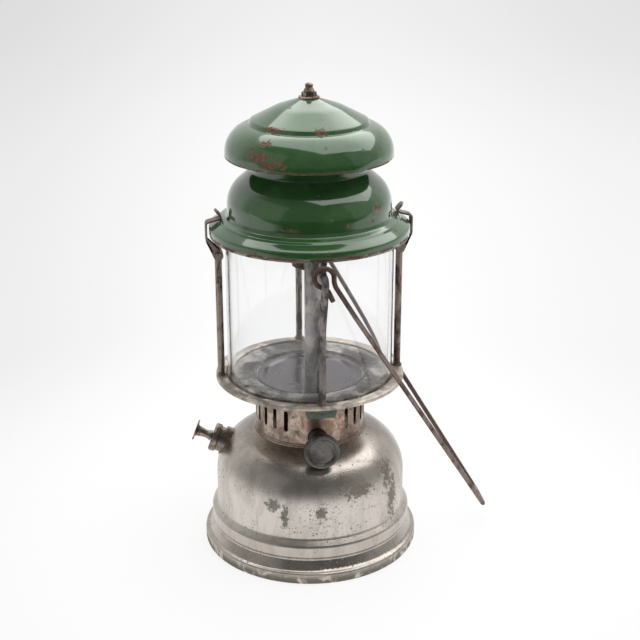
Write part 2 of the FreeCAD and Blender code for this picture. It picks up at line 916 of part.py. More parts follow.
# Straight upright with the cross hole for its clip's rivet.
def make_straight_upright():
    upright = post(upright_radius, gallery_top - upright_foot, cage_ring_bottom, upright_circle)
    return upright.cut(cross_pin(rivet_radius, 3 * upright_radius, upright_circle, clip_pivot))


# Upright that leans out near its top and hooks back inwards to carry the bail.
def make_hooked_upright():
    inner = upright_circle + hook_return
    points = [Vector(upright_circle, 0, gallery_top - upright_foot),
              Vector(upright_circle, 0, bail_height - hook_lean),
              Vector(upright_circle + hook_reach, 0, bail_height), Vector(inner, 0, bail_height),
              Vector(inner, 0, cage_ring_bottom)]
    bends = [0, hook_lean_bend, hook_bend, hook_return_bend, 0]
    return wire_along(rounded_path(points, bends), upright_radius)


def make_upright_eyelets():
    inner = upright_radius + upright_play
    ring = pipe(inner + eyelet_width, inner, gallery_top, gallery_top + eyelet_height, upright_circle)
    return Part.makeCompound([turned_about_z(ring, index * full_turn / 4) for index in range(4)])


def make_cage_ring():
    return pipe(cage_ring_radius, globe_radius + cage_ring_play, cage_ring_bottom, cage_ring_top)


# Spring clip at the right: two ears on the rivet, then a strip up over the hood's lip to a finger.
def make_clip():
    face = hood_radius + clip_stand_off
    heel = (face - clip_inset, lip_top + clip_over_lip + clip_heel_rise)
    finger = math.radians(clip_finger_angle)
    points = [(upright_circle + upright_radius + clip_root, clip_pivot + clip_root_rise),
              (face, clip_pivot + clip_shoulder, clip_bends[0]),
              (face, lip_top + clip_over_lip, clip_bends[1]),
              (heel[0], heel[1], clip_bends[2]),
              (heel[0] + clip_finger * math.cos(finger), heel[1] + clip_finger * math.sin(finger))]
    strip = strip_section(points, -clip_sheet)
    strip.translate(Vector(0, -clip_width / 2, 0))
    clip = strip.extrude(Vector(0, clip_width, 0))
    ear_inner = upright_radius + ear_gap
    thickness = clip_width / 2 - ear_inner
    web_foot = upright_circle - ear_width / 2
    web = Part.Face(Part.makePolygon([
        Vector(web_foot, 0, clip_pivot + ear_radius - rivet_play),
        Vector(face, 0, clip_pivot + clip_shoulder + clip_sheet),
        Vector(face + clip_sheet / 2, 0, clip_pivot + clip_shoulder - clip_sheet),
        Vector(upright_circle + ear_width, 0, clip_pivot - ear_radius + clip_sheet / 2),
        Vector(web_foot, 0, clip_pivot + ear_radius - rivet_play)])).extrude(Vector(0, thickness, 0))
    eye = Part.makeCylinder(ear_radius, thickness, Vector(upright_circle, 0, clip_pivot), Vector(0, 1, 0))
    ear = web.fuse(eye)
    for side in (ear_inner, -clip_width / 2):
        copy = ear.copy()
        copy.translate(Vector(0, side, 0))
        clip = clip.fuse(copy)
    bore = cross_pin(rivet_radius + rivet_play, 2 * clip_width, upright_circle, clip_pivot)
    return clip.removeSplitter().cut(bore)


# Rivet through a straight upright, with a head beyond each ear of the clip.
def make_rivet():
    length = clip_width + 2 * rivet_head_gap
    shank = cross_pin(rivet_radius, length, upright_circle, clip_pivot)
    whole = cross_pin(rivet_head_radius, length + 2 * rivet_head_height, upright_circle, clip_pivot)
    heads = whole.cut(cross_pin(rivet_head_radius, length, upright_circle, clip_pivot))
    return shank.fuse(heads).removeSplitter()


def make_globe():
    return pipe(globe_radius, globe_radius - globe_wall, globe_seat, globe_seat + globe_height)


# Hood: rolled lip, sloping flange with a ridge, bulge and neck in one pressing.
def make_hood():
    ridge_bottom = lip_top + flange_rise
    ridge_top = ridge_bottom + ridge_rise
    flare = ridge_top + bulge_step
    shoulder = neck_bottom - (bulge_radius - neck_outer) * math.tan(math.radians(bulge_slope))
    outline = [(hood_radius, hood_bottom), (hood_radius, lip_top, hood_fold),
               (hood_ridge + flange_fold, ridge_bottom, 1.0), (hood_ridge, ridge_top, flange_fold),
               (bulge_radius + bulge_flare, flare, hood_fold), (bulge_radius, flare + bulge_foot, hood_fold),
               (bulge_radius, shoulder, bulge_shoulder), (neck_outer, neck_bottom, neck_fold),
               (neck_outer, neck_top)]
    return pressing(outline, hood_sheet)


# Strap across the neck with turned-down ends, carrying the stud.
def make_cap_bridge():
    radius = neck_outer - hood_sheet - bridge_play
    under = bridge_top - bridge_sheet
    bottom = bridge_top - bridge_tab
    solid = post(radius, bottom, bridge_top).cut(post(radius - bridge_sheet, bottom, under))
    slab = Part.makeBox(bridge_width, 2 * radius, bridge_tab, Vector(-bridge_width / 2, -radius, bottom))
    return solid.common(slab).cut(post(stud_radius, bottom, bridge_top))


def make_cap_stud():
    under = bridge_top - bridge_sheet
    head = hexagon(stud_head_flats, under - stud_head_height, under)
    shank = post(stud_radius, under - stud_head_height, finial_base + finial_washer_height + finial_hex)
    return head.fuse(shank).removeSplitter()


def make_cap_spacer():
    bore = stud_radius + stud_play
    return pipe(bore + spacer_wall - stud_play, bore, bridge_top, crown_top - cap_sheet - spacer_gap)


# Cap: skirt with a curled edge, rounded shoulder, crease, then the crown.
def make_top_cap():
    shoulder = crease_height - (cap_radius - cap_crease) * math.tan(math.radians(cap_slope))
    outline = [(cap_radius - cap_curl, cap_bottom), (cap_radius, cap_bottom, cap_skirt_fold),
               (cap_radius, shoulder, cap_shoulder), (cap_crease, crease_height, 0.7),
               (cap_crease - crown_step_in, crease_height + crown_step, 1.6),
               (crown_knee, crown_top - crown_knee_drop, crown_bend),
               (finial_washer_radius, crown_top, fount_fold), (0, crown_top)]
    cap = pressing(outline, cap_sheet)
    return cap.cut(post(stud_radius + stud_play, crown_top - 2 * cap_sheet, crown_top))


def make_finial_washer():
    bore = stud_radius + stud_play
    top = finial_base + finial_washer_height
    return turned([(bore, finial_base), (finial_washer_radius, finial_base),
                   (finial_washer_radius, top, finial_washer_height / 2), (bore, top)])


# Finial nut: a hexagon with a waisted knob on top.
def make_finial_nut():
    bottom = finial_base + finial_washer_height
    hex_top = bottom + finial_hex
    waist = hex_top + finial_taper
    knob = turned([(0, hex_top), (finial_flats / 2 - finial_waist, hex_top, 0.5),
                   (finial_bead - finial_waist, waist, 2.0), (finial_bead, waist + finial_waist, 0.4),
                   (finial_bead, waist + finial_bead_height * 0.7, 1.6), (0, waist + finial_bead_height)])
    nut = hexagon(finial_flats, bottom, hex_top).fuse(knob).removeSplitter()
    return nut.cut(post(stud_radius, bottom, hex_top))


# Wire ring of the bail round the hook, ending in a short tail behind it.
def bail_eye(side):
    y = side * bail_plane

    def on_eye(angle):
        turn = math.radians(angle)
        return Vector(bail_eye_radius * math.cos(turn), y, bail_height + bail_eye_radius * math.sin(turn))

    half = bail_eye_turn / 2
    first = Part.Arc(on_eye(0), on_eye(half / 2), on_eye(half)).toShape()
    second = Part.Arc(on_eye(half), on_eye(half * 1.5), on_eye(bail_eye_turn)).toShape()
    heading = math.radians(bail_eye_turn + 90)
    slope = math.radians(-tail_slope)
    bend = on_eye(bail_eye_turn) + Vector(math.cos(heading), 0, math.sin(heading)) * tail_first
    end = bend + Vector(math.cos(slope), 0, math.sin(slope)) * tail_second
    tail = rounded_path([on_eye(bail_eye_turn), bend, end], [0, tail_bend, 0])
    return [first, second] + tail.Edges


# Bail: eye, leg, grip, leg and eye of one wire, all but the eyes in one leaning plane.
def make_bail():
    lean = math.radians(bail_lean)
    along = Vector(math.cos(lean), 0, -math.sin(lean))
    knee = Vector(bail_eye_radius, 0, bail_height - bail_drop)
    grip = knee + along * (bail_length - bail_drop)

    def leg(side):
        out = Vector(0, side, 0)
        return [Vector(bail_eye_radius, 0, bail_height) + out * bail_plane, knee + out * bail_plane,
                knee + along * bail_straight + out * bail_plane, grip + out * (bail_grip / 2)]

    radii = [0, bail_leg_bend, bail_leg_bend, bail_grip_bend]
    middle = rounded_path(leg(-1) + leg(1)[::-1], radii + radii[::-1])
    edges = Part.__sortEdges__(bail_eye(-1) + middle.Edges + bail_eye(1))
    return wire_along(Part.Wire(edges), bail_radius)


os.makedirs("parts", exist_ok=True)


def save(name, shape):
    shape.exportStep("parts/" + name + ".step")


save("fount_shell", make_fount_shell())
save("fount_pan", make_fount_pan())
save("valve_boss", make_valve_boss())
save("pickup_tube", make_pickup_tube())
save("filler_bush", make_filler_bush())
save("filler_gasket", make_filler_gasket())
save("filler_cap", make_filler_cap())
save("pump_neck", make_pump_neck())
save("pump_barrel", make_pump_barrel())
save("pump_cap", make_pump_cap())
save("pump_knob", make_pump_knob())
save("pump_rod", make_pump_rod())
save("pump_washer", make_pump_washer())
save("pump_leather", make_pump_leather())
save("pump_nut", make_pump_nut())
save("check_body", make_check_body())
save("check_pip", make_check_pip())
save("check_spring", make_check_spring())
save("valve_body", make_valve_body())
save("gland_nut", make_gland_nut())
save("valve_spindle", make_valve_spindle())
save("valve_knob", make_valve_knob())
save("generator_tube", make_generator_tube())
save("jet", make_jet())
save("pricker_rod", make_pricker_rod())
save("mixing_elbow", make_mixing_elbow())
save("burner_head", make_burner_head())
save("burner_nozzle", make_burner_nozzle())
save("burner_collar", make_burner_collar())
save("collar_ring", make_collar_ring())
save("gallery_plate", make_gallery_plate())
save("gallery_disc", make_gallery_disc())
save("front_cup", make_front_cup())
save("upright_right", make_straight_upright())
save("upright_left", turned_about_z(make_straight_upright(), 180))
save("upright_front", turned_about_z(make_hooked_upright(), -90))
save("upright_rear", turned_about_z(make_hooked_upright(), 90))
save("upright_eyelets", make_upright_eyelets())
save("cage_ring", make_cage_ring())
save("clip_right", make_clip())
save("clip_left", turned_about_z(make_clip(), 180))
save("clip_rivets", Part.makeCompound([make_rivet(), turned_about_z(make_rivet(), 180)]))
save("globe", make_globe())
save("hood", make_hood())
save("cap_bridge", make_cap_bridge())
save("cap_stud", make_cap_stud())
save("cap_spacer", make_cap_spacer())
save("top_cap", make_top_cap())
save("finial_washer", make_finial_washer())
save("finial_nut", make_finial_nut())
save("bail", make_bail())
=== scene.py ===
import math

import bmesh
import bpy
import numpy as np
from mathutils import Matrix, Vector


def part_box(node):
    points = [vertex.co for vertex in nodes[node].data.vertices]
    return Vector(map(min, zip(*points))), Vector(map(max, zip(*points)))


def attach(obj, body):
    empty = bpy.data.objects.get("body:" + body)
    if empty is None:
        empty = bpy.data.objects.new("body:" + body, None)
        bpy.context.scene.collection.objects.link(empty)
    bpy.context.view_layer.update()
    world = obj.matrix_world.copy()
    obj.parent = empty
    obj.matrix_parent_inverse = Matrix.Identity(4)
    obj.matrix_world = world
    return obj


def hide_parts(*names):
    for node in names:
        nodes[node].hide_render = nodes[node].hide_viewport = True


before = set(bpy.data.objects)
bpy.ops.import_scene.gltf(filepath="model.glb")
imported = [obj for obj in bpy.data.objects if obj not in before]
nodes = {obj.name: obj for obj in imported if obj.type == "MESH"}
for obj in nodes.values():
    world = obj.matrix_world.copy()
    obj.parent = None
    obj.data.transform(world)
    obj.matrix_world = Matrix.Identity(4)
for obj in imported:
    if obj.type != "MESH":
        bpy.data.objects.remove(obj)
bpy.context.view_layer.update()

print("frame loaded,", len(nodes), "nodes")


# Shader building

# A socket fed by another socket or set to a plain value.
def feed(tree, socket, value):
    if isinstance(value, bpy.types.NodeSocket):
        tree.links.new(value, socket)
    else:
        socket.default_value = value


# One node, its sockets given as plain values or as the sockets that feed them.
def put(tree, kind, sockets=None, **fields):
    node = tree.nodes.new(kind)
    for name, value in fields.items():
        setattr(node, name, value)
    for name, value in (sockets or {}).items():
        feed(tree, node.inputs[name], value)
    return node


# Arithmetic on two values.
def calc(tree, operation, first, second=0.0):
    return put(tree, "ShaderNodeMath", {0: first, 1: second}, operation=operation).outputs[0]


def times(tree, first, second):
    return calc(tree, "MULTIPLY", first, second)


def plus(tree, first, second):
    return calc(tree, "ADD", first, second)


def minus(tree, first, second):
    return calc(tree, "SUBTRACT", first, second)


# Largest of several masks.
def anyOf(tree, masks):
    total = masks[0]
    for mask in masks[1:]:
        total = calc(tree, "MAXIMUM", total, mask)
    return total


# Smooth step from 0 at low to 1 at high, also where low is the larger.
def ease(tree, value, low, high):
    sockets = {"Value": value, "From Min": low, "From Max": high}
    return put(tree, "ShaderNodeMapRange", sockets, interpolation_type="SMOOTHSTEP").outputs["Result"]


# Colour that goes from one to the other as the mask goes from 0 to 1.
def blendColour(tree, mask, under, over):
    under, over = ((*c, 1.0) if isinstance(c, tuple) else c for c in (under, over))
    return put(tree, "ShaderNodeMix", {0: mask, 6: under, 7: over}, data_type="RGBA").outputs[2]


# The colour with a share of another laid over it where the mask is 1.
def lay(tree, colour, mask, share, over):
    return blendColour(tree, times(tree, mask, share), colour, over)


# Value that goes from one to the other as the mask goes from 0 to 1.
def blendValue(tree, mask, under, over):
    return put(tree, "ShaderNodeMix", {0: mask, 2: under, 3: over}).outputs[0]


# Noise over a place.
def noiseOver(tree, place, scale, detail):
    return put(tree, "ShaderNodeTexNoise", {"Vector": place, "Scale": scale, "Detail": detail}).outputs[0]


# Noise along one value.
def noiseAlong(tree, value, scale, detail):
    sockets = {"W": value, "Scale": scale, "Detail": detail}
    return put(tree, "ShaderNodeTexNoise", sockets, noise_dimensions="1D").outputs[0]


# Distance of a place from the origin.
def lengthOf(tree, place):
    return put(tree, "ShaderNodeVectorMath", {0: place}, operation="LENGTH").outputs["Value"]


effectForm = {
    "patches": {"detail": 7.0, "roughness": 0.62, "distortion": 0.5, "bareLevel": 0.75, "coverGain": -0.5},
    "pits": {"rim": 0.5, "floor": 0.15},
    "spot": {"scale": 320.0, "detail": 5.0, "roughness": 0.7, "gain": 4.0, "outside": 1.15, "inside": 0.7},
    "wornEdges": {"samples": 4, "turned": (0.98, 0.8), "noise": (260.0, 4.0), "broken": (0.35, 0.6)},
}


# Node group with a Vector input, others with these defaults, and a mask as its output.
def startGroup(name, defaults):
    group = bpy.data.node_groups.new(name, "ShaderNodeTree")
    for label, value in {"Vector": (0, 0, 0), **defaults}.items():
        kind = "NodeSocketVector" if isinstance(value, tuple) else "NodeSocketFloat"
        group.interface.new_socket(label, in_out="INPUT", socket_type=kind).default_value = value
    group.interface.new_socket("Mask", in_out="OUTPUT", socket_type="NodeSocketFloat")
    return group, group.nodes.new("NodeGroupInput").outputs, group.nodes.new("NodeGroupOutput").inputs


# Patches: noise above a level that falls as the cover grows.
def makePatchesGroup():
    form = effectForm["patches"]
    defaults = {"Scale": 40.0, "Cover": 0.5, "Softness": 0.05, "Stretch": 1.0}
    group, given, result = startGroup("patches", defaults)
    stretch = put(group, "ShaderNodeCombineXYZ", {"X": 1.0, "Y": 1.0, "Z": given["Stretch"]}).outputs[0]
    pair = {0: given["Vector"], 1: stretch}
    place = put(group, "ShaderNodeVectorMath", pair, operation="MULTIPLY").outputs[0]
    noise = put(group, "ShaderNodeTexNoise", {
        "Vector": place, "Scale": given["Scale"], "Detail": form["detail"], "Roughness": form["roughness"],
        "Distortion": form["distortion"]}).outputs[0]
    level = calc(group, "MULTIPLY_ADD", given["Cover"], form["coverGain"])
    level.node.inputs[2].default_value = form["bareLevel"]
    low = minus(group, level, given["Softness"])
    high = plus(group, level, given["Softness"])
    group.links.new(ease(group, noise, low, high), result["Mask"])
    return group


# Pits: the middles of a random share of scattered cells.
def makePitsGroup():
    form = effectForm["pits"]
    group, given, result = startGroup("pits", {"Scale": 700.0, "Cover": 0.3})
    cells = put(group, "ShaderNodeTexVoronoi", {"Vector": given["Vector"], "Scale": given["Scale"]})
    pick = put(group, "ShaderNodeSeparateColor", {0: cells.outputs["Color"]}).outputs[0]
    chosen = calc(group, "LESS_THAN", pick, given["Cover"])
    middle = ease(group, cells.outputs["Distance"], form["rim"], form["floor"])
    group.links.new(times(group, chosen, middle), result["Mask"])
    return group


# Spot: a ragged blot round one place, its size given along each axis.
def makeSpotGroup():
    form = effectForm["spot"]
    defaults = {"Centre": (0, 0, 0), "Size": (0.01, 0.01, 0.01), "Ragged": 0.8}
    group, given, result = startGroup("spot", defaults)
    pair = {0: given["Vector"], 1: given["Centre"]}
    away = put(group, "ShaderNodeVectorMath", pair, operation="SUBTRACT").outputs[0]
    share = put(group, "ShaderNodeVectorMath", {0: away, 1: given["Size"]}, operation="DIVIDE").outputs[0]
    noise = put(group, "ShaderNodeTexNoise", {
        "Vector": given["Vector"], "Scale": form["scale"], "Detail": form["detail"],
        "Roughness": form["roughness"]}).outputs[0]
    gain = times(group, given["Ragged"], form["gain"])
    rough = times(group, minus(group, noise, 0.5), gain)
    reach = plus(group, lengthOf(group, share), rough)
    group.links.new(ease(group, reach, form["outside"], form["inside"]), result["Mask"])
    return group


# Worn edges: where a rounded normal leaves the true one, broken up by noise.
def makeEdgesGroup():
    form = effectForm["wornEdges"]
    group, given, result = startGroup("wornEdges", {"Radius": 0.0006, "Wear": 0.5})
    rounded = put(group, "ShaderNodeBevel", {"Radius": given["Radius"]}, samples=form["samples"]).outputs[0]
    pair = {0: rounded, 1: put(group, "ShaderNodeNewGeometry").outputs["True Normal"]}
    turn = put(group, "ShaderNodeVectorMath", pair, operation="DOT_PRODUCT").outputs["Value"]
    noise = noiseOver(group, given["Vector"], *form["noise"])
    wear = times(group, ease(group, noise, *form["broken"]), given["Wear"])
    group.links.new(times(group, ease(group, turn, *form["turned"]), wear), result["Mask"])
    return group


groups = {
    "patches": makePatchesGroup(),
    "pits": makePitsGroup(),
    "spot": makeSpotGroup(),
    "wornEdges": makeEdgesGroup(),
}
print("effect groups made")


# A mask from one of the groups.
def effect(tree, name, place, sockets):
    sockets = {"Vector": place, **sockets}
    return put(tree, "ShaderNodeGroup", sockets, node_tree=groups[name]).outputs["Mask"]


def patchMask(tree, place, scale, cover, softness, stretch=1.0):
    sockets = {"Scale": scale, "Cover": cover, "Softness": softness, "Stretch": stretch}
    return effect(tree, "patches", place, sockets)


def pitMask(tree, place, scale, cover):
    return effect(tree, "pits", place, {"Scale": scale, "Cover": cover})


def edgeMask(tree, place, radius, wear):
    return effect(tree, "wornEdges", place, {"Radius": radius, "Wear": wear})


# Blots of the given centres and sizes.
def blots(tree, place, spots, ragged):
    return anyOf(tree, [effect(tree, "spot", place, {"Centre": centre, "Size": size, "Ragged": ragged})
                        for centre, size in spots])


# Material with a Principled surface and its Object coordinates.
def startMaterial(name):
    material = bpy.data.materials.new(name)
    material.use_nodes = True
    tree = material.node_tree
    tree.nodes.clear()
    surface = put(tree, "ShaderNodeBsdfPrincipled")
    put(tree, "ShaderNodeOutputMaterial", {"Surface": surface.outputs[0]})
    place = put(tree, "ShaderNodeTexCoord").outputs["Object"]
    return material, tree, surface, place


# Colour, roughness, metal share and height put on the surface.
def finishSurface(tree, surface, colour, roughness, metallic, height, depth, optics={}):
    bump = put(tree, "ShaderNodeBump", {"Height": height, "Strength": 1.0, "Distance": depth}).outputs[0]
    given = {"Base Color": colour, "Roughness": roughness, "Metallic": metallic, "Normal": bump}
    for name, value in {**given, **optics}.items():
        feed(tree, surface.inputs[name], value)


# Distance from the axis and height over the ground.
def radiusAndHeight(tree, place):
    parts = put(tree, "ShaderNodeSeparateXYZ", {0: place}).outputs
    flat = put(tree, "ShaderNodeCombineXYZ", {"X": parts[0], "Y": parts[1]}).outputs[0]
    return lengthOf(tree, flat), parts[2]


# A colour made lighter, each part up to 1.
def lighter(colour, gain):
    return tuple(min(1.0, gain * c) for c in colour)


# In the dictionaries below, patches are given as scale, cover, softness and stretch, pits as scale and cover,
# worn edges as radius and wear, and noise as scale and detail. The rust of the steels and the green of
# the brasses leave out the cover, which each of them has for itself.

# Nickel plate

nickelLook = {
    "plate": (0.72, 0.665, 0.61),
    "satin": (0.54, 0.49, 0.44),
    "tarnish": (0.13, 0.102, 0.078),
    "freckle": (0.085, 0.068, 0.052),
    "verdigris": (0.095, 0.12, 0.09),
    "crust": (0.15, 0.145, 0.1),
    "wallBottom": (0.024, 0.032),  # the plating grows light and freckled between these heights
    "wallTop": (0.08, 0.06),  # and plain again between these
    "crustEdge": (0.01, 0.002),
    "collarShade": (0.06, 0.043),  # radii between which painted shade darkens the crown towards the collar
    "broad": (26.0, 0.52, 0.16), "streaks": (95.0, 0.45, 0.12, 0.3), "fine": (900.0, 0.32),
    "coarse": (420.0, 0.14), "dense": (45.0, 0.55, 0.1), "crustPatches": (120.0, 0.62, 0.06),
    "greenSpots": [((-0.036, -0.0624, 0.0575), (0.0055, 0.0055, 0.005)),
                   ((-0.0275, -0.0665, 0.05), (0.0026, 0.003, 0.009)),
                   ((-0.001, -0.072, 0.053), (0.004, 0.004, 0.005))],
    "greenRagged": 1.0,
    "darkSpots": [((0.053, -0.048, 0.072), (0.006, 0.008, 0.015)),
                  ((0.056, -0.0451, 0.05), (0.0045, 0.007, 0.017)),
                  ((0.03, -0.065, 0.066), (0.015, 0.008, 0.005))],
    "darkRagged": 1.3, "dullest": 0.55,
    "share": {"streaks": 0.22, "collar": 0.35, "stray": 0.5, "freckles": 0.75, "dark": 0.7, "green": 0.65,
              "crust": 0.8, "darkStain": 0.6, "freckleStain": 0.7},
    "roughness": (0.27, 0.42), "stainRoughness": 0.75, "stainMetal": 0.1, "grain": (380.0, 6.0),
    "grainRise": 0.35, "crustRise": 0.6, "depth": 0.00012,
}


def makeNickel():
    look = nickelLook
    share = look["share"]
    material, tree, surface, place = startMaterial("wornNickel")
    radius, height = radiusAndHeight(tree, place)
    wall = times(tree, ease(tree, height, *look["wallBottom"]), ease(tree, height, *look["wallTop"]))
    broad = patchMask(tree, place, *look["broad"])
    streaks = patchMask(tree, place, *look["streaks"])
    light = times(tree, wall, blendValue(tree, broad, look["dullest"], 1.0))
    colour = blendColour(tree, light, look["satin"], look["plate"])
    colour = lay(tree, colour, streaks, share["streaks"], look["tarnish"])
    # Painted shade: the crown darkens towards the collar, laid on in the tarnish colour.
    colour = lay(tree, colour, ease(tree, radius, *look["collarShade"]), share["collar"], look["tarnish"])
    fine = pitMask(tree, place, *look["fine"])
    coarse = pitMask(tree, place, *look["coarse"])
    dense = patchMask(tree, place, *look["dense"])
    freckles = times(tree, anyOf(tree, [fine, coarse]), times(tree, dense, wall))
    stray = times(tree, times(tree, coarse, share["stray"]), dense)
    freckles = calc(tree, "MAXIMUM", freckles, stray)
    colour = lay(tree, colour, freckles, share["freckles"], look["freckle"])
    green = blots(tree, place, look["greenSpots"], look["greenRagged"])
    dark = blots(tree, place, look["darkSpots"], look["darkRagged"])
    crust = patchMask(tree, place, *look["crustPatches"])
    crust = times(tree, crust, ease(tree, height, *look["crustEdge"]))
    colour = lay(tree, colour, dark, share["dark"], look["tarnish"])
    colour = lay(tree, colour, green, share["green"], look["verdigris"])
    colour = lay(tree, colour, crust, share["crust"], look["crust"])
    stained = anyOf(tree, [times(tree, dark, share["darkStain"]), green, crust,
                           times(tree, freckles, share["freckleStain"])])
    roughness = blendValue(tree, light, *look["roughness"])
    roughness = blendValue(tree, stained, roughness, look["stainRoughness"])
    metallic = blendValue(tree, stained, 1.0, look["stainMetal"])
    grain = noiseOver(tree, place, *look["grain"])
    relief = minus(tree, times(tree, grain, look["grainRise"]), freckles)
    relief = plus(tree, relief, times(tree, plus(tree, green, crust), look["crustRise"]))
    finishSurface(tree, surface, colour, roughness, metallic, relief, look["depth"])
    return material


fittingLook = {
    "metal": (0.36, 0.31, 0.27),
    "tarnish": (0.19, 0.15, 0.12),
    "brown": (150.0, 0.48, 0.1), "edges": (0.0005, 0.8), "pits": (1300.0, 0.2), "pitShare": 0.6,
    "roughness": (0.28, 0.5), "depth": 0.00008,
}


# Small plated fittings, more even than the tank.
def makeFittingNickel():
    look = fittingLook
    material, tree, surface, place = startMaterial("fittingNickel")
    brown = patchMask(tree, place, *look["brown"])
    edges = edgeMask(tree, place, *look["edges"])
    pits = pitMask(tree, place, *look["pits"])
    colour = blendColour(tree, brown, look["metal"], look["tarnish"])
    colour = blendColour(tree, edges, colour, nickelLook["plate"])
    colour = lay(tree, colour, pits, look["pitShare"], nickelLook["freckle"])
    roughness = blendValue(tree, anyOf(tree, [brown, pits]), *look["roughness"])
    finishSurface(tree, surface, colour, roughness, 1.0, minus(tree, 0.0, pits), look["depth"])
    return material


# Green enamel

enamelLook = {
    "green": (0.033, 0.108, 0.03),
    "deep": (0.018, 0.054, 0.016),
    "faded": (0.055, 0.145, 0.046),
    "rust": (0.15, 0.068, 0.036),
    "primer": (0.235, 0.13, 0.088),
    "blackened": (0.035, 0.024, 0.018),
    "lipWear": (0.00256, 0.00048),  # the rim is worn below these heights over the lowest edge
    "fade": (18.0, 0.4, 0.22), "shade": (60.0, 0.35, 0.2), "edgePatches": (110.0, 0.62, 0.05),
    "specks": (260.0, 0.05), "few": (30.0, 0.42, 0.05), "tone": (420.0, 0.5, 0.12),
    "dust": (75.0, 0.38, 0.18), "ragged": 1.5, "deepShare": 0.5, "blackShare": 0.5,
    "roughness": (0.11, 0.21), "bareRoughness": 0.8, "peel": (620.0, 3.0), "peelRise": 0.05,
    "waves": (45.0, 2.0), "waveRise": 0.55, "depth": 0.00012,
    "optics": {"Coat Roughness": 0.04, "Coat IOR": 1.58, "IOR": 1.45},
}

capSpots = [((-0.04, -0.045, 0.3125), (0.008, 0.009, 0.0035)),
            ((-0.033, -0.05, 0.309), (0.009, 0.006, 0.003)),
            ((-0.0455, -0.0391, 0.3175), (0.003, 0.004, 0.004)),
            ((0.003, -0.043, 0.329), (0.0052, 0.0035, 0.0026)),
            ((-0.029, -0.031, 0.328), (0.005, 0.005, 0.002)),
            ((-0.036, -0.04, 0.3215), (0.004, 0.004, 0.002))]
hoodSpots = [((-0.047, -0.06, 0.2475), (0.007, 0.006, 0.003)),
             ((-0.02, -0.056, 0.264), (0.008, 0.003, 0.0011)),
             ((0.042, -0.042, 0.274), (0.004, 0.004, 0.002)),
             ((0.02, -0.0735, 0.248), (0.006, 0.005, 0.0014)),
             ((0.056, -0.038, 0.256), (0.0012, 0.0014, 0.0012))]


def makeEnamel(name, spots, rim):
    look = enamelLook
    material, tree, surface, place = startMaterial(name)
    height = radiusAndHeight(tree, place)[1]
    colour = blendColour(tree, patchMask(tree, place, *look["fade"]), look["green"], look["faded"])
    colour = lay(tree, colour, patchMask(tree, place, *look["shade"]), look["deepShare"], look["deep"])
    chipped = blots(tree, place, spots, look["ragged"])
    edge = ease(tree, height, *(rim + rise for rise in look["lipWear"]))
    edgeRust = times(tree, edge, patchMask(tree, place, *look["edgePatches"]))
    specks = pitMask(tree, place, *look["specks"])
    specks = times(tree, specks, patchMask(tree, place, *look["few"]))
    bare = blendColour(tree, patchMask(tree, place, *look["tone"]), look["rust"], look["primer"])
    bare = lay(tree, bare, edge, look["blackShare"], look["blackened"])
    lost = anyOf(tree, [chipped, edgeRust, specks])
    colour = blendColour(tree, lost, colour, bare)
    roughness = blendValue(tree, patchMask(tree, place, *look["dust"]), *look["roughness"])
    roughness = blendValue(tree, lost, roughness, look["bareRoughness"])
    peel = times(tree, noiseOver(tree, place, *look["peel"]), look["peelRise"])
    waves = times(tree, noiseOver(tree, place, *look["waves"]), look["waveRise"])
    relief = minus(tree, plus(tree, peel, waves), lost)
    optics = {"Coat Weight": minus(tree, 1.0, lost), **look["optics"]}
    finishSurface(tree, surface, colour, roughness, 0.0, relief, look["depth"], optics)
    return material


# Brown steel of the cage, clips and bail

steelLook = {
    "rod": {"metal": (0.36, 0.295, 0.25), "rust": (0.17, 0.115, 0.082),
            "dark": (0.09, 0.07, 0.058), "cover": 0.42},
    "frontRod": {"metal": (0.24, 0.215, 0.205), "rust": (0.105, 0.085, 0.075),
                 "dark": (0.05, 0.042, 0.04), "cover": 0.5},
    "clip": {"metal": (0.36, 0.3, 0.255), "rust": (0.18, 0.125, 0.09),
             "dark": (0.085, 0.068, 0.055), "cover": 0.42},
    "fastener": {"metal": (0.33, 0.27, 0.22), "rust": (0.14, 0.09, 0.06),
                 "dark": (0.06, 0.045, 0.035), "cover": 0.45},
    "washer": {"metal": (0.46, 0.38, 0.34), "rust": (0.25, 0.15, 0.11),
               "dark": (0.1, 0.07, 0.055), "cover": 0.42},
    "bail": {"metal": (0.24, 0.18, 0.16), "rust": (0.18, 0.092, 0.06),
             "dark": (0.075, 0.052, 0.045), "cover": 0.4,
             "allRust": (0.202, 0.226)},  # between these heights the bail turns to rust all over
}
steelForm = {
    "rust": (110.0, 0.07, 0.45), "pits": (850.0, 0.35), "edges": (0.0006, 0.7),
    "tone": (380.0, 0.5, 0.15), "pitShare": 0.7, "edgeGain": 1.6, "roughness": (0.36, 0.66),
    "metallic": (0.95, 0.25), "grain": (1100.0, 4.0), "grainRise": 0.6, "rustRise": 0.7, "depth": 0.00016,
}


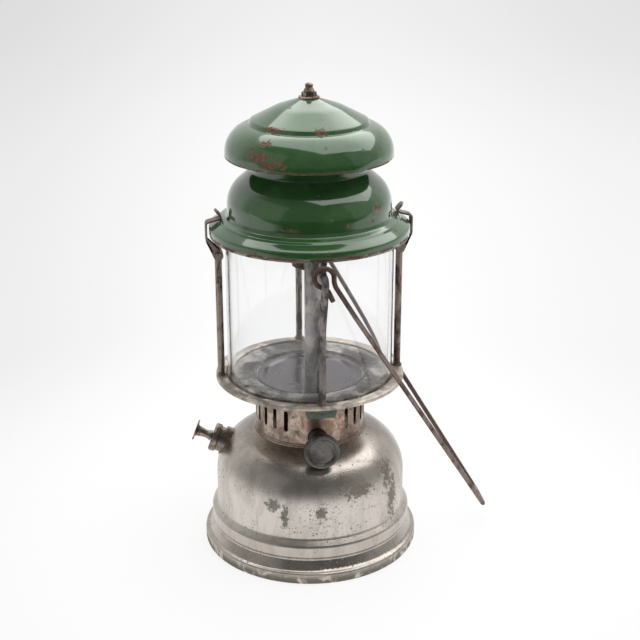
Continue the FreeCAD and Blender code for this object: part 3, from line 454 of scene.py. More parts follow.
def makeSteel(name):
    look, form = steelLook[name], steelForm
    material, tree, surface, place = startMaterial(name + "Steel")
    scale, softness, stretch = form["rust"]
    rust = patchMask(tree, place, scale, look["cover"], softness, stretch)
    if "allRust" in look:
        height = radiusAndHeight(tree, place)[1]
        rust = calc(tree, "MAXIMUM", rust, ease(tree, height, *look["allRust"]))
    pits = pitMask(tree, place, *form["pits"])
    edges = edgeMask(tree, place, *form["edges"])
    tone = patchMask(tree, place, *form["tone"])
    colour = blendColour(tree, rust, look["metal"], blendColour(tree, tone, look["rust"], look["dark"]))
    colour = lay(tree, colour, pits, form["pitShare"], look["dark"])
    colour = blendColour(tree, edges, colour, lighter(look["metal"], form["edgeGain"]))
    roughness = blendValue(tree, rust, *form["roughness"])
    metallic = blendValue(tree, rust, *form["metallic"])
    grain = times(tree, noiseOver(tree, place, *form["grain"]), form["grainRise"])
    relief = plus(tree, minus(tree, grain, pits), times(tree, rust, form["rustRise"]))
    finishSurface(tree, surface, colour, roughness, metallic, relief, form["depth"])
    return material


# Brass and copper

brassLook = {
    "inner": {"metal": (0.3, 0.22, 0.11), "tarnish": (0.12, 0.085, 0.05), "green": 0.1, "gloss": 0.38},
    "collar": {"metal": (0.55, 0.44, 0.36), "tarnish": (0.29, 0.215, 0.175), "green": 0.04, "gloss": 0.3},
    "knob": {"metal": (0.175, 0.165, 0.155), "tarnish": (0.085, 0.078, 0.074), "green": 0.16, "gloss": 0.4},
    "cup": {"metal": (0.135, 0.135, 0.105), "tarnish": (0.06, 0.062, 0.05), "green": 0.62, "gloss": 0.5},
}
brassForm = {
    "verdigris": (0.15, 0.205, 0.17),
    "pitColour": (0.03, 0.025, 0.02),
    "tarnish": (70.0, 0.5, 0.12), "fine": (520.0, 0.42, 0.1), "pits": (950.0, 0.16),
    "edges": (0.0006, 0.6), "green": (170.0, 0.1), "greenLeast": 0.2, "greenGain": 0.5,
    "rimRadius": 0.0018, "rimGain": 2.5,
    "share": {"fine": 0.35, "pits": 0.6, "edges": 0.6, "green": 0.8, "dull": 0.5}, "edgeGain": 1.7,
    "dullRoughness": 0.75, "greenMetal": 0.1, "grain": (900.0, 4.0), "grainRise": 0.4, "depth": 0.0001,
}
# Copper shows round the knob's stem, with a brown painted shadow to its right.
collarLook = {
    "bright": {"Centre": (0.005, -0.04, 0.112), "Size": (0.019, 0.02, 0.013), "Ragged": 0.9},
    "copper": (0.47, 0.29, 0.19),
    "copperShare": 0.5,
    "paintedShadow": {"Centre": (0.025, -0.033, 0.106), "Size": (0.012, 0.012, 0.012), "Ragged": 1.2},
    # colour and share of the painted shadow
    "brown": (0.17, 0.09, 0.06),
    "shadowShare": 0.55,
}


def makeBrass(name):
    look, form = brassLook[name], brassForm
    share = form["share"]
    material, tree, surface, place = startMaterial(name + "Brass")
    tarnish = patchMask(tree, place, *form["tarnish"])
    fine = patchMask(tree, place, *form["fine"])
    pits = pitMask(tree, place, *form["pits"])
    edges = edgeMask(tree, place, *form["edges"])
    colour = blendColour(tree, tarnish, look["metal"], look["tarnish"])
    if name == "collar":
        bright = effect(tree, "spot", place, collarLook["bright"])
        # Painted shadow: a brown blot on the collar to the right of the knob's stem.
        paintedShadow = effect(tree, "spot", place, collarLook["paintedShadow"])
        colour = lay(tree, colour, bright, collarLook["copperShare"], collarLook["copper"])
        colour = lay(tree, colour, paintedShadow, collarLook["shadowShare"], collarLook["brown"])
    colour = lay(tree, colour, fine, share["fine"], look["tarnish"])
    colour = lay(tree, colour, pits, share["pits"], form["pitColour"])
    colour = lay(tree, colour, edges, share["edges"], lighter(look["metal"], form["edgeGain"]))
    cover = form["greenLeast"] + form["greenGain"] * look["green"]
    scale, softness = form["green"]
    patches = patchMask(tree, place, scale, cover, softness)
    rims = edgeMask(tree, place, form["rimRadius"], look["green"] * form["rimGain"])
    green = calc(tree, "MINIMUM", calc(tree, "MAXIMUM", patches, rims), 1.0)
    colour = lay(tree, colour, green, share["green"], form["verdigris"])
    dull = anyOf(tree, [green, times(tree, tarnish, share["dull"])])
    roughness = blendValue(tree, dull, look["gloss"], form["dullRoughness"])
    metallic = blendValue(tree, green, 1.0, form["greenMetal"])
    grain = times(tree, noiseOver(tree, place, *form["grain"]), form["grainRise"])
    relief = plus(tree, minus(tree, grain, pits), green)
    finishSurface(tree, surface, colour, roughness, metallic, relief, form["depth"])
    return material


# Gallery

galleryLook = {
    "rim": (0.74, 0.66, 0.575),
    "ring": (0.5, 0.47, 0.445),
    "dirt": (0.115, 0.1, 0.085),
    "green": (0.15, 0.165, 0.115),
    "worn": (0.48, 0.45, 0.41),
    "insideEdge": (0.0595, 0.0575),  # the stippling is stronger inside these radii
    "outerEdge": (0.07, 0.0725),  # verdigris gathers outside these
    "dirtPatches": (60.0, 0.52, 0.12), "stipple": (620.0, 0.75), "greenPatches": (90.0, 0.4, 0.1),
    "edges": (0.0008, 0.6), "dotShare": (0.25, 0.7), "dirtShare": 0.6, "greenShare": 0.8,
    "dirtMetal": 0.5, "roughness": (0.36, 0.62), "metallic": (1.0, 0.35), "depth": 0.00022,
}


def makeGalleryPlate():
    look = galleryLook
    material, tree, surface, place = startMaterial("galleryPlate")
    radius = radiusAndHeight(tree, place)[0]
    inside = ease(tree, radius, *look["insideEdge"])
    dirt = patchMask(tree, place, *look["dirtPatches"])
    stipple = pitMask(tree, place, *look["stipple"])
    colour = blendColour(tree, inside, look["rim"], look["ring"])
    colour = lay(tree, colour, dirt, look["dirtShare"], look["dirt"])
    dots = times(tree, stipple, blendValue(tree, inside, *look["dotShare"]))
    colour = blendColour(tree, dots, colour, look["dirt"])
    green = patchMask(tree, place, *look["greenPatches"])
    green = times(tree, green, ease(tree, radius, *look["outerEdge"]))
    colour = lay(tree, colour, green, look["greenShare"], look["green"])
    colour = blendColour(tree, edgeMask(tree, place, *look["edges"]), colour, look["worn"])
    roughness = blendValue(tree, anyOf(tree, [dirt, green]), *look["roughness"])
    covered = anyOf(tree, [times(tree, dirt, look["dirtMetal"]), green])
    metallic = blendValue(tree, covered, *look["metallic"])
    relief = minus(tree, 0.0, dots)
    finishSurface(tree, surface, colour, roughness, metallic, relief, look["depth"])
    return material


discLook = {
    "metal": (0.175, 0.16, 0.178),
    "rings": (2200.0, 2.0), "ringShare": 0.15, "smoke": (70.0, 0.42, 0.15), "smokeShare": 0.5,
    "roughness": (0.14, 0.3), "depth": 0.00002,
}


def makeGalleryDisc():
    look = discLook
    material, tree, surface, place = startMaterial("galleryDisc")
    rings = noiseAlong(tree, radiusAndHeight(tree, place)[0], *look["rings"])
    smoke = patchMask(tree, place, *look["smoke"])
    colour = lay(tree, look["metal"], smoke, look["smokeShare"], galleryLook["dirt"])
    colour = lay(tree, colour, rings, look["ringShare"], galleryLook["dirt"])
    roughness = blendValue(tree, smoke, *look["roughness"])
    finishSurface(tree, surface, colour, roughness, 1.0, rings, look["depth"])
    return material


# Generator, heat-tinted in bands

generatorLook = {
    "grey": (0.72, 0.67, 0.64),
    "violet": (0.54, 0.5, 0.52),
    "straw": (0.64, 0.55, 0.44),
    "sootColour": (0.035, 0.03, 0.03),
    "bands": (42.0, 3.0), "violetBands": (0.4, 0.6), "strawBands": (0.62, 0.72), "strawShare": 0.6,
    "soot": (130.0, 0.45, 0.12, 0.4), "sootShare": 0.6, "pits": (900.0, 0.2), "roughness": (0.36, 0.6),
    "metallic": 0.55, "depth": 0.0001,
}


def makeGenerator():
    look = generatorLook
    material, tree, surface, place = startMaterial("heatTintedTube")
    bands = noiseAlong(tree, radiusAndHeight(tree, place)[1], *look["bands"])
    colour = blendColour(tree, ease(tree, bands, *look["violetBands"]), look["grey"], look["violet"])
    colour = lay(tree, colour, ease(tree, bands, *look["strawBands"]), look["strawShare"], look["straw"])
    soot = patchMask(tree, place, *look["soot"])
    colour = lay(tree, colour, soot, look["sootShare"], look["sootColour"])
    relief = minus(tree, 0.0, pitMask(tree, place, *look["pits"]))
    roughness = blendValue(tree, soot, *look["roughness"])
    finishSurface(tree, surface, colour, roughness, look["metallic"], relief, look["depth"])
    return material


# Glass, ceramic, leather and rubber

glassLook = {
    "clear": (0.985, 0.99, 0.987),
    "smoky": (0.62, 0.6, 0.56),
    "smokeEdge": (0.215, 0.25),  # the smoke gathers above these heights
    "smoke": (45.0, 0.5, 0.2), "smokeShare": 0.3, "film": (30.0, 0.35, 0.2), "filmRoughness": 0.025,
    "waves": (22.0, 1.0), "depth": 0.00008, "optics": {"Transmission Weight": 1.0, "IOR": 1.47},
}


def makeGlass():
    look = glassLook
    material, tree, surface, place = startMaterial("smokedGlass")
    top = ease(tree, radiusAndHeight(tree, place)[1], *look["smokeEdge"])
    smoke = times(tree, patchMask(tree, place, *look["smoke"]), top)
    film = patchMask(tree, place, *look["film"])
    colour = lay(tree, look["clear"], smoke, look["smokeShare"], look["smoky"])
    waves = noiseOver(tree, place, *look["waves"])
    roughness = times(tree, film, look["filmRoughness"])
    finishSurface(tree, surface, colour, roughness, 0.0, waves, look["depth"], look["optics"])
    return material


mattLook = {
    "ceramic": {"light": (0.7, 0.66, 0.58), "dark": (0.48, 0.43, 0.36),
                "scale": 180.0, "roughness": (0.75, 0.9), "depth": 0.0001},
    "oiledLeather": {"light": (0.16, 0.09, 0.05), "dark": (0.08, 0.045, 0.03),
                     "scale": 260.0, "roughness": (0.55, 0.7), "depth": 0.0002},
    "sealRubber": {"light": (0.05, 0.045, 0.04), "dark": (0.03, 0.028, 0.026),
                   "scale": 300.0, "roughness": (0.7, 0.85), "depth": 0.0001},
}
mattForm = {"cover": 0.5, "softness": 0.15, "grainScale": 8, "grainDetail": 5.0}


# A plain non-metal with mottling and grain.
def makeMatt(name):
    look, form = mattLook[name], mattForm
    material, tree, surface, place = startMaterial(name)
    mottle = patchMask(tree, place, look["scale"], form["cover"], form["softness"])
    grain = noiseOver(tree, place, look["scale"] * form["grainScale"], form["grainDetail"])
    colour = blendColour(tree, mottle, look["light"], look["dark"])
    roughness = blendValue(tree, mottle, *look["roughness"])
    finishSurface(tree, surface, colour, roughness, 0.0, grain, look["depth"])
    return material


rimHeights = {name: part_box(name)[0].z for name in ("hood", "top_cap")}
materials = {
    "tank": makeNickel(),
    "fitting": makeFittingNickel(),
    "hoodEnamel": makeEnamel("hoodEnamel", hoodSpots, rimHeights["hood"]),
    "capEnamel": makeEnamel("capEnamel", capSpots, rimHeights["top_cap"]),
    **{name: makeSteel(name) for name in steelLook},
    **{name + "Brass": makeBrass(name) for name in brassLook},
    "galleryPlate": makeGalleryPlate(),
    "galleryDisc": makeGalleryDisc(),
    "generator": makeGenerator(),
    "glass": makeGlass(),
    "ceramic": makeMatt("ceramic"),
    "leather": makeMatt("oiledLeather"),
    "rubber": makeMatt("sealRubber"),
}
wornBy = {
    "tank": ["fount_shell", "fount_pan"],
    "fitting": ["filler_cap", "pump_cap", "pump_knob", "pump_neck"],
    "rod": ["upright_right", "upright_left", "upright_rear", "cage_ring", "upright_eyelets"],
    "frontRod": ["upright_front"],
    "clip": ["clip_right", "clip_left", "clip_rivets"],
    "fastener": ["finial_nut", "cap_bridge", "cap_stud", "cap_spacer", "pricker_rod", "check_spring"],
    "washer": ["finial_washer"],
    "bail": ["bail"],
    "innerBrass": ["valve_boss", "pickup_tube", "filler_bush", "pump_barrel", "check_body", "check_pip",
                   "valve_body", "gland_nut", "jet", "burner_head", "pump_rod", "pump_washer", "pump_nut"],
    "collarBrass": ["burner_collar", "collar_ring"],
    "knobBrass": ["valve_knob", "valve_spindle"],
    "cupBrass": ["front_cup"],
    "galleryPlate": ["gallery_plate"],
    "galleryDisc": ["gallery_disc"],
    "generator": ["generator_tube", "mixing_elbow"],
    "ceramic": ["burner_nozzle"],
    "leather": ["pump_leather"],
    "rubber": ["filler_gasket"],
    "hoodEnamel": ["hood"],
    "capEnamel": ["top_cap"],
    "glass": ["globe"],
}


# Every slot of an object filled with one material.
def dress(piece, material):
    if not piece.material_slots:
        piece.data.materials.append(material)
    for slot in piece.material_slots:
        slot.material = material


for finish, names in wornBy.items():
    for name in names:
        dress(nodes[name], materials[finish])
print("materials on", sum(len(names) for names in wornBy.values()), "nodes")


# Turned sheet pieces

runSteps = 3  # a straight run may be this many steps long
smallest = 1e-12  # keeps a division from being one by zero


# Points of a profile with each corner replaced by an arc of its own radius. Each arc starts and ends where it
# touches the runs, at radius / tan(half the corner's angle) from the corner, or nearer where two would meet.
def roundedProfile(corners, step):
    points = np.array([c[:2] for c in corners], float)
    radii = np.array([c[2] if len(c) > 2 else 0.0 for c in corners], float)
    back = points[:-2] - points[1:-1]
    ahead = points[2:] - points[1:-1]
    backLength = np.linalg.norm(back, axis=1)
    aheadLength = np.linalg.norm(ahead, axis=1)
    cosine = (back * ahead).sum(1) / (backLength * aheadLength)
    half = np.arccos(np.clip(cosine, -1, 1)) / 2
    reach = np.zeros(len(points))
    reach[1:-1] = radii[1:-1] / np.tan(half)
    runs = np.linalg.norm(np.diff(points, axis=0), axis=1)
    share = np.minimum(1.0, runs / np.maximum(reach[:-1] + reach[1:], smallest))
    limit = np.ones(len(points))
    limit[:-1] = np.minimum(limit[:-1], share)
    limit[1:] = np.minimum(limit[1:], share)
    reach = reach * limit
    line = [points[:1]]
    for index in range(1, len(points) - 1):
        if reach[index] == 0:
            line.append(points[index:index + 1])
            continue
        toBack = back[index - 1] / backLength[index - 1]
        toAhead = ahead[index - 1] / aheadLength[index - 1]
        angle = half[index - 1]
        radius = reach[index] * math.tan(angle)
        middle = toBack + toAhead
        middle = middle / np.linalg.norm(middle)
        centre = points[index] + middle * radius / math.sin(angle)
        start = points[index] + toBack * reach[index] - centre
        end = points[index] + toAhead * reach[index] - centre
        sweep = math.pi - 2 * angle
        count = max(3, int(radius * sweep / step))
        turn = np.linspace(0, 1, count + 1)[:, None]
        arc = np.sin((1 - turn) * sweep) * start + np.sin(turn * sweep) * end
        line.append(centre + arc / math.sin(sweep))
    line.append(points[-1:])
    return np.concatenate(line)


# The profile with points added so that no run is longer than the step.
def evenRuns(line, step):
    runs = np.linalg.norm(np.diff(line, axis=0), axis=1)
    counts = np.maximum(1, np.ceil(runs / step).astype(int))
    parts = [a + (b - a) * np.arange(n)[:, None] / n for a, b, n in zip(line[:-1], line[1:], counts)]
    return np.concatenate(parts + [line[-1:]])


# The same line moved by a distance to its left.
def movedLeft(line, distance):
    along = np.gradient(line, axis=0)
    along = along / np.maximum(np.linalg.norm(along, axis=1), smallest)[:, None]
    return line + np.stack([-along[:, 1], along[:, 0]], axis=1) * distance


# Faces between neighbouring rows and columns of points, the last joined to the first where they are closed.
def gridFaces(rows, columns, closedRows=False, closedColumns=False):
    row, column = np.meshgrid(np.arange(rows - 1 + closedRows), np.arange(columns - 1 + closedColumns),
                              indexing="ij")
    nextRow, nextColumn = (row + 1) % rows, (column + 1) % columns
    corners = [(row, column), (row, nextColumn), (nextRow, nextColumn), (nextRow, column)]
    return np.stack([r * columns + c for r, c in corners], axis=-1).reshape(-1, 4)


# Object with this mesh or lamp or camera, put into the scene.
def addObject(name, data):
    piece = bpy.data.objects.new(name, data)
    bpy.context.scene.collection.objects.link(piece)
    return piece


# Surface of revolution: a point of the profile at (r, z) goes to (r cos a, r sin a, z) for every angle a, and
# the dents, a function of angle, r and z, take a little off r. The profile's last point joins its first.
def turnedSurface(name, profile, segments, dents=None):
    angle = np.linspace(0, 2 * math.pi, segments, endpoint=False)
    radius = np.repeat(profile[:, :1], segments, axis=1)
    height = np.repeat(profile[:, 1:], segments, axis=1)
    turn = np.repeat(angle[None, :], len(profile), axis=0)
    if dents is not None:
        radius = radius - dents(turn, radius, height)
    points = np.stack([radius * np.cos(turn), radius * np.sin(turn), height], axis=-1).reshape(-1, 3)
    faces = gridFaces(len(profile), segments, True, True)
    mesh = bpy.data.meshes.new(name)
    mesh.from_pydata(points.tolist(), [], faces.tolist())
    mesh.polygons.foreach_set("use_smooth", np.ones(len(faces), bool))
    mesh.update()
    return addObject(name, mesh)


# Pressed sheet: the outside profile, then the inside one back, one sheet away.
def pressedSheet(name, corners, form):
    outside = evenRuns(roundedProfile(corners, form["step"]), form["step"] * runSteps)
    inside = movedLeft(outside, form["sheet"])
    dents = handlingDents(form["dent"], form["seed"])
    return turnedSurface(name, np.concatenate([outside, inside[::-1]]), form["segments"], dents)


dentForm = {"count": 5, "waves": (2, 6), "pitch": (60, 160), "calmRadius": 0.05}


# Low waves left by the press and by knocks, always inwards: the depth times the mean of some (1 + cos) / 2,
# the cosines those of angle and height, and shallower inside the calm radius.
def handlingDents(depth, seed):
    form = dentForm
    count = form["count"]
    source = np.random.default_rng(seed)
    waves = source.integers(*form["waves"], count)
    phases = source.uniform(0, 2 * math.pi, count)
    pitch = source.uniform(*form["pitch"], count)

    def dents(turn, radius, height):
        total = sum(1 + np.cos(w * turn + p + q * height) for w, p, q in zip(waves, phases, pitch))
        return depth * total / (2 * count) * np.clip(radius / form["calmRadius"], 0, 1)

    return dents


hoodForm = {
    "sheet": 0.0009, "lip": 0.0056, "fold": 0.0016, "flange": 0.0037, "ridgeRadius": 0.0652,
    "ridgeFold": 0.0012, "ridgeFoot": 0.001, "ridgeRise": 0.0015, "bulgeRadius": 0.0597, "bulgeFlare": 0.001,
    "bulgeStep": 0.0013, "bulgeFoot": 0.0027, "bulgeRound": 0.024, "bulgeSlope": 40.0, "bodyHeight": 0.0461,
    "neckRadius": 0.0424, "neckFold": 0.002, "dent": 0.00012, "seed": 3, "segments": 256, "step": 0.0006,
}


def makeHood():
    form = hoodForm
    low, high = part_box("hood")
    lip = low.z + form["lip"]
    ridgeLow = lip + form["flange"]
    ridgeHigh = ridgeLow + form["ridgeRise"]
    flare = ridgeHigh + form["bulgeStep"]
    neckLow = low.z + form["bodyHeight"]
    slope = math.tan(math.radians(form["bulgeSlope"]))
    shoulder = neckLow - (form["bulgeRadius"] - form["neckRadius"]) * slope
    corners = [(high.x, low.z),
               (high.x, lip, form["fold"]),
               (form["ridgeRadius"] + form["ridgeFold"], ridgeLow, form["ridgeFoot"]),
               (form["ridgeRadius"], ridgeHigh, form["ridgeFold"]),
               (form["bulgeRadius"] + form["bulgeFlare"], flare, form["fold"]),
               (form["bulgeRadius"], flare + form["bulgeFoot"], form["fold"]),
               (form["bulgeRadius"], shoulder, form["bulgeRound"]),
               (form["neckRadius"], neckLow, form["neckFold"]),
               (form["neckRadius"], high.z)]
    hood = pressedSheet("hoodShell", corners, form)
    dress(hood, materials["hoodEnamel"])
    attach(hood, "lantern")
    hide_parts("hood")


capForm = {
    "sheet": 0.0009, "curl": 0.0014, "skirtFold": 0.00095, "round": 0.0205, "slope": 10.0,
    "creaseRadius": 0.0432, "creaseFold": 0.0007, "creaseRise": 0.0231, "stepRise": 0.003, "stepIn": 0.0014,
    "stepFold": 0.0016, "kneeRadius": 0.02376, "kneeDrop": 0.0054, "kneeRound": 0.04, "topRadius": 0.0075,
    "topFold": 0.003, "studHole": 0.0023, "dent": 0.00015, "seed": 8, "segments": 256, "step": 0.0006,
}


def makeCap():
    form = capForm
    low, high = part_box("top_cap")
    crease = low.z + form["creaseRise"]
    shoulder = crease - (high.x - form["creaseRadius"]) * math.tan(math.radians(form["slope"]))
    corners = [(high.x - form["curl"], low.z),
               (high.x, low.z, form["skirtFold"]),
               (high.x, shoulder, form["round"]),
               (form["creaseRadius"], crease, form["creaseFold"]),
               (form["creaseRadius"] - form["stepIn"], crease + form["stepRise"], form["stepFold"]),
               (form["kneeRadius"], high.z - form["kneeDrop"], form["kneeRound"]),
               (form["topRadius"], high.z, form["topFold"]),
               (form["studHole"], high.z)]
    cap = pressedSheet("capShell", corners, form)
    dress(cap, materials["capEnamel"])
    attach(cap, "lantern")
    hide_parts("top_cap")


globeForm = {"wall": 0.0025, "rimRound": 0.0011, "segments": 256, "step": 0.0004, "run": 0.006}


# Straight glass tube with fire-polished rims: a rounded rectangle carried round the axis.
def makeGlobe():
    form = globeForm
    low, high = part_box("globe")
    inner = high.x - form["wall"]
    middle = (low.z + high.z) / 2
    corners = [(high.x, middle), (high.x, high.z, form["rimRound"]), (inner, high.z, form["rimRound"]),
               (inner, low.z, form["rimRound"]), (high.x, low.z, form["rimRound"]), (high.x, middle)]
    line = evenRuns(roundedProfile(corners, form["step"]), form["run"])[:-1]
    globe = turnedSurface("globeGlass", line, form["segments"])
    dress(globe, materials["glass"])
    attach(globe, "lantern")
    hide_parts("globe")


clipForm = {
    "sheet": 0.0014, "width": 0.008, "post": 0.0668, "rootOut": 0.0048, "rootRise": 0.0026,
    "shoulder": 0.011, "overLip": 0.004, "heelIn": 0.0112, "heelRise": 0.003, "fingerAngle": 50.0,
    "topGap": 0.0013, "sideGap": 0.0001, "bends": (0.006, 0.0028, 0.0008), "tipCut": 0.99, "eye": 0.0037,
    "eyeArc": (135, 325, 20), "cheekInner": 0.0029, "cheekLow": 0.0098, "cheekHigh": 0.0125,
    "columns": 9, "step": 0.0004, "bevel": 0.00025, "bevelSegments": 2,
}


# Clip strip: a profile (x, z) carried across its width, y = u * half(s) for u from -1 to 1. half(s) is half
# the width and, over the last of the run s, half the width * sqrt(1 - past ** 2), a round end. Cheeks: two
# thin plates whose outline goes round the rivet's eye and up to the strip.
def makeClip(name, node, side):
    form = clipForm
    low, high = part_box(node)
    rivetLow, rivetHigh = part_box("clip_rivets")
    pivot = (rivetLow.z + rivetHigh.z) / 2
    outer = max(-low.x, high.x) - form["sideGap"]
    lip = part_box("hood")[0].z + hoodForm["lip"]
    heel = (outer - form["heelIn"], lip + form["overLip"] + form["heelRise"])
    angle = math.radians(form["fingerAngle"])
    reach = (high.z - form["topGap"] - heel[1]) / math.sin(angle)
    bends = form["bends"]
    corners = [(form["post"] + form["rootOut"], pivot + form["rootRise"]),
               (outer, pivot + form["shoulder"], bends[0]), (outer, lip + form["overLip"], bends[1]),
               (*heel, bends[2]), (heel[0] + reach * math.cos(angle), heel[1] + reach * math.sin(angle))]
    outside = evenRuns(roundedProfile(corners, form["step"]), form["step"] * runSteps)
    line = np.concatenate([outside, movedLeft(outside, form["sheet"])[::-1]])
    run = np.concatenate([[0.0], np.cumsum(np.linalg.norm(np.diff(outside, axis=0), axis=1))])
    radius = form["width"] / 2
    past = np.clip((run - run[-1] + radius) / radius, 0, form["tipCut"])
    half = radius * np.sqrt(1 - past ** 2)
    half = np.concatenate([half, half[::-1]])
    rows, columns = len(line), form["columns"]
    across = np.linspace(-1, 1, columns)
    x, z = (np.repeat(line[:, k:k + 1], columns, axis=1) for k in (0, 1))
    points = np.stack([x, half[:, None] * across[None, :], z], axis=-1).reshape(-1, 3)
    faces = gridFaces(rows, columns, closedRows=True).tolist()
    for end in (0, columns - 1):
        for k in range(rows // 2 - 1):
            faces.append([j * columns + end for j in (k, k + 1, rows - 2 - k, rows - 1 - k)])
    turn = np.radians(np.linspace(*form["eyeArc"]))
    eye = np.stack([form["post"] + form["eye"] * np.cos(turn), pivot + form["eye"] * np.sin(turn)], axis=-1)
    strap = [[outer - form["sheet"] / 2, pivot + form["cheekLow"]],
             [outer - form["sheet"], pivot + form["cheekHigh"]]]
    outline = np.concatenate([eye, strap])
    count = len(outline)
    for sign in (-1, 1):
        base = len(points)
        plates = [np.stack([outline[:, 0], np.full(count, sign * y), outline[:, 1]], axis=-1)
                  for y in (form["cheekInner"], radius)]
        points = np.concatenate([points] + plates)
        faces += [[base + k for k in range(count)], [base + count + k for k in range(count)]]
        faces += [[base + k, base + (k + 1) % count, base + count + (k + 1) % count, base + count + k]
                  for k in range(count)]
    mesh = bpy.data.meshes.new(name)
    mesh.from_pydata((points * (side, side, 1)).tolist(), [], faces)
    shell = bmesh.new()
    shell.from_mesh(mesh)
    bmesh.ops.recalc_face_normals(shell, faces=shell.faces)
    shell.to_mesh(mesh)
    shell.free()
    clip = addObject(name, mesh)
    soften = clip.modifiers.new("soften", "BEVEL")
    soften.width = form["bevel"]
    soften.segments = form["bevelSegments"]
    dress(clip, materials["clip"])
    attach(clip, node)
    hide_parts(node)


makeHood()
makeCap()
makeGlobe()
makeClip("clipStripRight", "clip_right", 1)
makeClip("clipStripLeft", "clip_left", -1)
print("hood, cap, globe and clips made")


# Studio

studio = {
    "floorSize": 6.5,  # half the floor's side
    "floorCells": 8, "floorColour": 0.82, "frontColour": 0.04,
    "frontEdge": -0.6,  # the white sheet ends at this y, and all in front is dark, but not for the camera
    "frontBlur": 0.15, "nearWhite": 1.05, "farWhite": 1.02,
    "farFrom": (0.1, 3.2),  # distances between which the near white turns into the far one
    "leftFall": 0.2,  # how far the floor's painted glow darkens towards the picture's left and right
    "rightFall": 0.13,
    "fallOrigin": (0.12, 0.91),  # added to x and y, so that x / y is the direction from the camera
    "fallMiddle": 0.14, "leftEnd": -0.14, "rightEnd": 0.42,
    "fallFrom": (0.15, 0.5),  # distances between which that darkening begins
    "shown": 0.78,  # share of the plain backdrop colour that the camera sees on the floor
    "worldLight": 0.45,
    "worldSeen": 0.86,  # the backdrop behind the object, and for the camera on every side
    "roomSeen": 0.16,  # the rest of the room
    "behindFrom": (0.0, 0.5),  # the backdrop's edges, as a direction's y and z
    "behindTop": (0.92, 0.75), "lampTarget": (0, 0, 0.2),
}
lamps = {
    "overheadSoftbox": {"place": (0.35, 0.3, 1.55), "size": (2.5, 2.2), "power": 33.0},
    "leftFill": {"place": (-1.8, -0.6, 0.9), "size": (2.0, 2.0), "power": 3.0},
    "rightFill": {"place": (1.9, -0.4, 0.9), "size": (2.0, 2.0), "power": 3.0},
}


# Rays that come from the camera.
def cameraRays(tree):
    return put(tree, "ShaderNodeLightPath").outputs["Is Camera Ray"]


# Rays that see the backdrop as it is: from the camera, off gloss and through glass.
def seenRays(tree):
    path = put(tree, "ShaderNodeLightPath").outputs
    return anyOf(tree, [path["Is Camera Ray"], path["Is Glossy Ray"], path["Is Transmission Ray"]])


# Floor: a grid in x and y at height 0 whose glow is painted light, darker with distance and to both sides,
# and in front dark for all
#  rays but the camera's.
def makeFloor():
    half, lines = studio["floorSize"], studio["floorCells"] + 1
    steps = np.linspace(-half, half, lines)
    x, y = np.meshgrid(steps, steps)
    points = np.stack([x, y, np.zeros_like(x)], axis=-1).reshape(-1, 3)
    mesh = bpy.data.meshes.new("studioFloor")
    mesh.from_pydata(points.tolist(), [], gridFaces(lines, lines).tolist())
    floor = addObject("studioFloor", mesh)
    material = bpy.data.materials.new("paleFloor")
    material.use_nodes = True
    tree = material.node_tree
    tree.nodes.clear()
    place = put(tree, "ShaderNodeTexCoord").outputs["Object"]
    parts = put(tree, "ShaderNodeSeparateXYZ", {0: place}).outputs
    distance = lengthOf(tree, place)
    fade = ease(tree, distance, *studio["farFrom"])
    level = blendValue(tree, fade, studio["nearWhite"], studio["farWhite"])
    sideways, ahead = (plus(tree, part, shift) for part, shift in zip(parts, studio["fallOrigin"]))
    across = calc(tree, "DIVIDE", sideways, ahead)
    far = ease(tree, distance, *studio["fallFrom"])
    for end, fall in (("leftEnd", "leftFall"), ("rightEnd", "rightFall")):
        side = times(tree, ease(tree, across, studio["fallMiddle"], studio[end]), far)
        level = minus(tree, level, times(tree, side, studio[fall]))
    edge, blur = studio["frontEdge"], studio["frontBlur"]
    lit = ease(tree, parts[1], edge - blur, edge + blur)
    lit = calc(tree, "MAXIMUM", lit, cameraRays(tree))
    level = times(tree, level, lit)
    tone = blendColour(tree, lit, (studio["frontColour"],) * 3, (studio["floorColour"],) * 3)
    paint = put(tree, "ShaderNodeBsdfDiffuse", {"Color": tone})
    glow = put(tree, "ShaderNodeEmission", {"Strength": level})
    seen = times(tree, seenRays(tree), studio["shown"])
    mixed = put(tree, "ShaderNodeMixShader", {0: seen, 1: paint.outputs[0], 2: glow.outputs[0]})
    put(tree, "ShaderNodeOutputMaterial", {"Surface": mixed.outputs[0]})
    dress(floor, material)


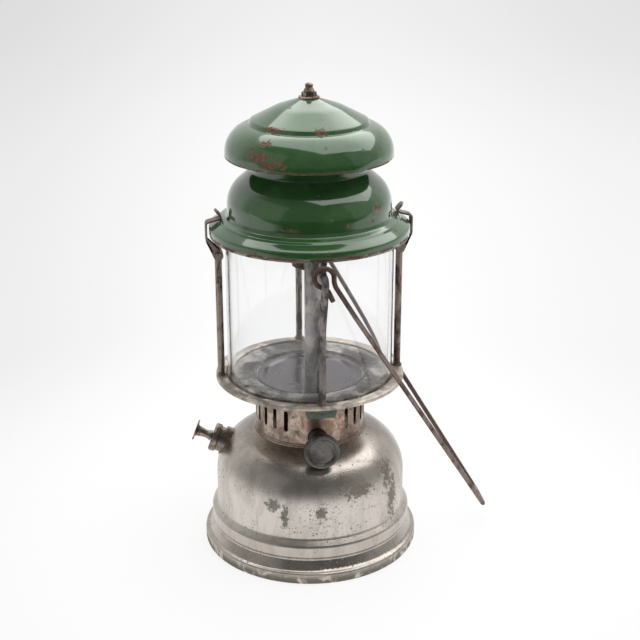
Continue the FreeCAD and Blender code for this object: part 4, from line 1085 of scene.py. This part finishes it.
# World: an even light for the surfaces, pale for the camera, and off gloss or through glass pale only behind
# the object.
def makeWorld():
    world = bpy.data.worlds.new("studioWorld")
    world.use_nodes = True
    tree = world.node_tree
    tree.nodes.clear()
    direction = put(tree, "ShaderNodeTexCoord").outputs["Generated"]
    parts = put(tree, "ShaderNodeSeparateXYZ", {0: direction}).outputs
    back, top = ease(tree, parts[1], *studio["behindFrom"]), ease(tree, parts[2], *studio["behindTop"])
    behind = calc(tree, "MAXIMUM", times(tree, back, top), cameraRays(tree))
    seen = blendValue(tree, behind, studio["roomSeen"], studio["worldSeen"])
    strength = blendValue(tree, seenRays(tree), studio["worldLight"], seen)
    glow = put(tree, "ShaderNodeBackground", {"Strength": strength})
    put(tree, "ShaderNodeOutputWorld", {"Surface": glow.outputs[0]})
    bpy.context.scene.world = world


def makeLamp(name, place, size, power):
    lamp = bpy.data.lights.new(name, "AREA")
    lamp.shape = "RECTANGLE"
    lamp.size, lamp.size_y = size
    lamp.energy = power
    holder = addObject(name, lamp)
    holder.location = place
    look = Vector(studio["lampTarget"]) - Vector(place)
    holder.rotation_euler = look.to_track_quat("-Z", "Y").to_euler()


cameraPlace = {
    "place": (-0.1195, -0.9078, 0.5262),
    "heading": 7.98,  # degrees from +Y towards +X
    "pitch": 20.87,  # degrees down
    "lens": 73.9, "sensor": 36.0, "clip": (0.05, 60.0),
}


def makeCamera():
    lens = bpy.data.cameras.new("photoCamera")
    lens.lens = cameraPlace["lens"]
    lens.sensor_width = cameraPlace["sensor"]
    lens.clip_start, lens.clip_end = cameraPlace["clip"]
    camera = addObject("photoCamera", lens)
    heading, pitch = math.radians(cameraPlace["heading"]), math.radians(cameraPlace["pitch"])
    level = math.cos(pitch)
    look = Vector((math.sin(heading) * level, math.cos(heading) * level, -math.sin(pitch)))
    camera.location = cameraPlace["place"]
    camera.rotation_euler = look.to_track_quat("-Z", "Y").to_euler()
    bpy.context.scene.camera = camera


makeFloor()
makeWorld()
for name, form in lamps.items():
    makeLamp(name, **form)
makeCamera()
bpy.context.scene.view_settings.view_transform = "Standard"
print("studio set")
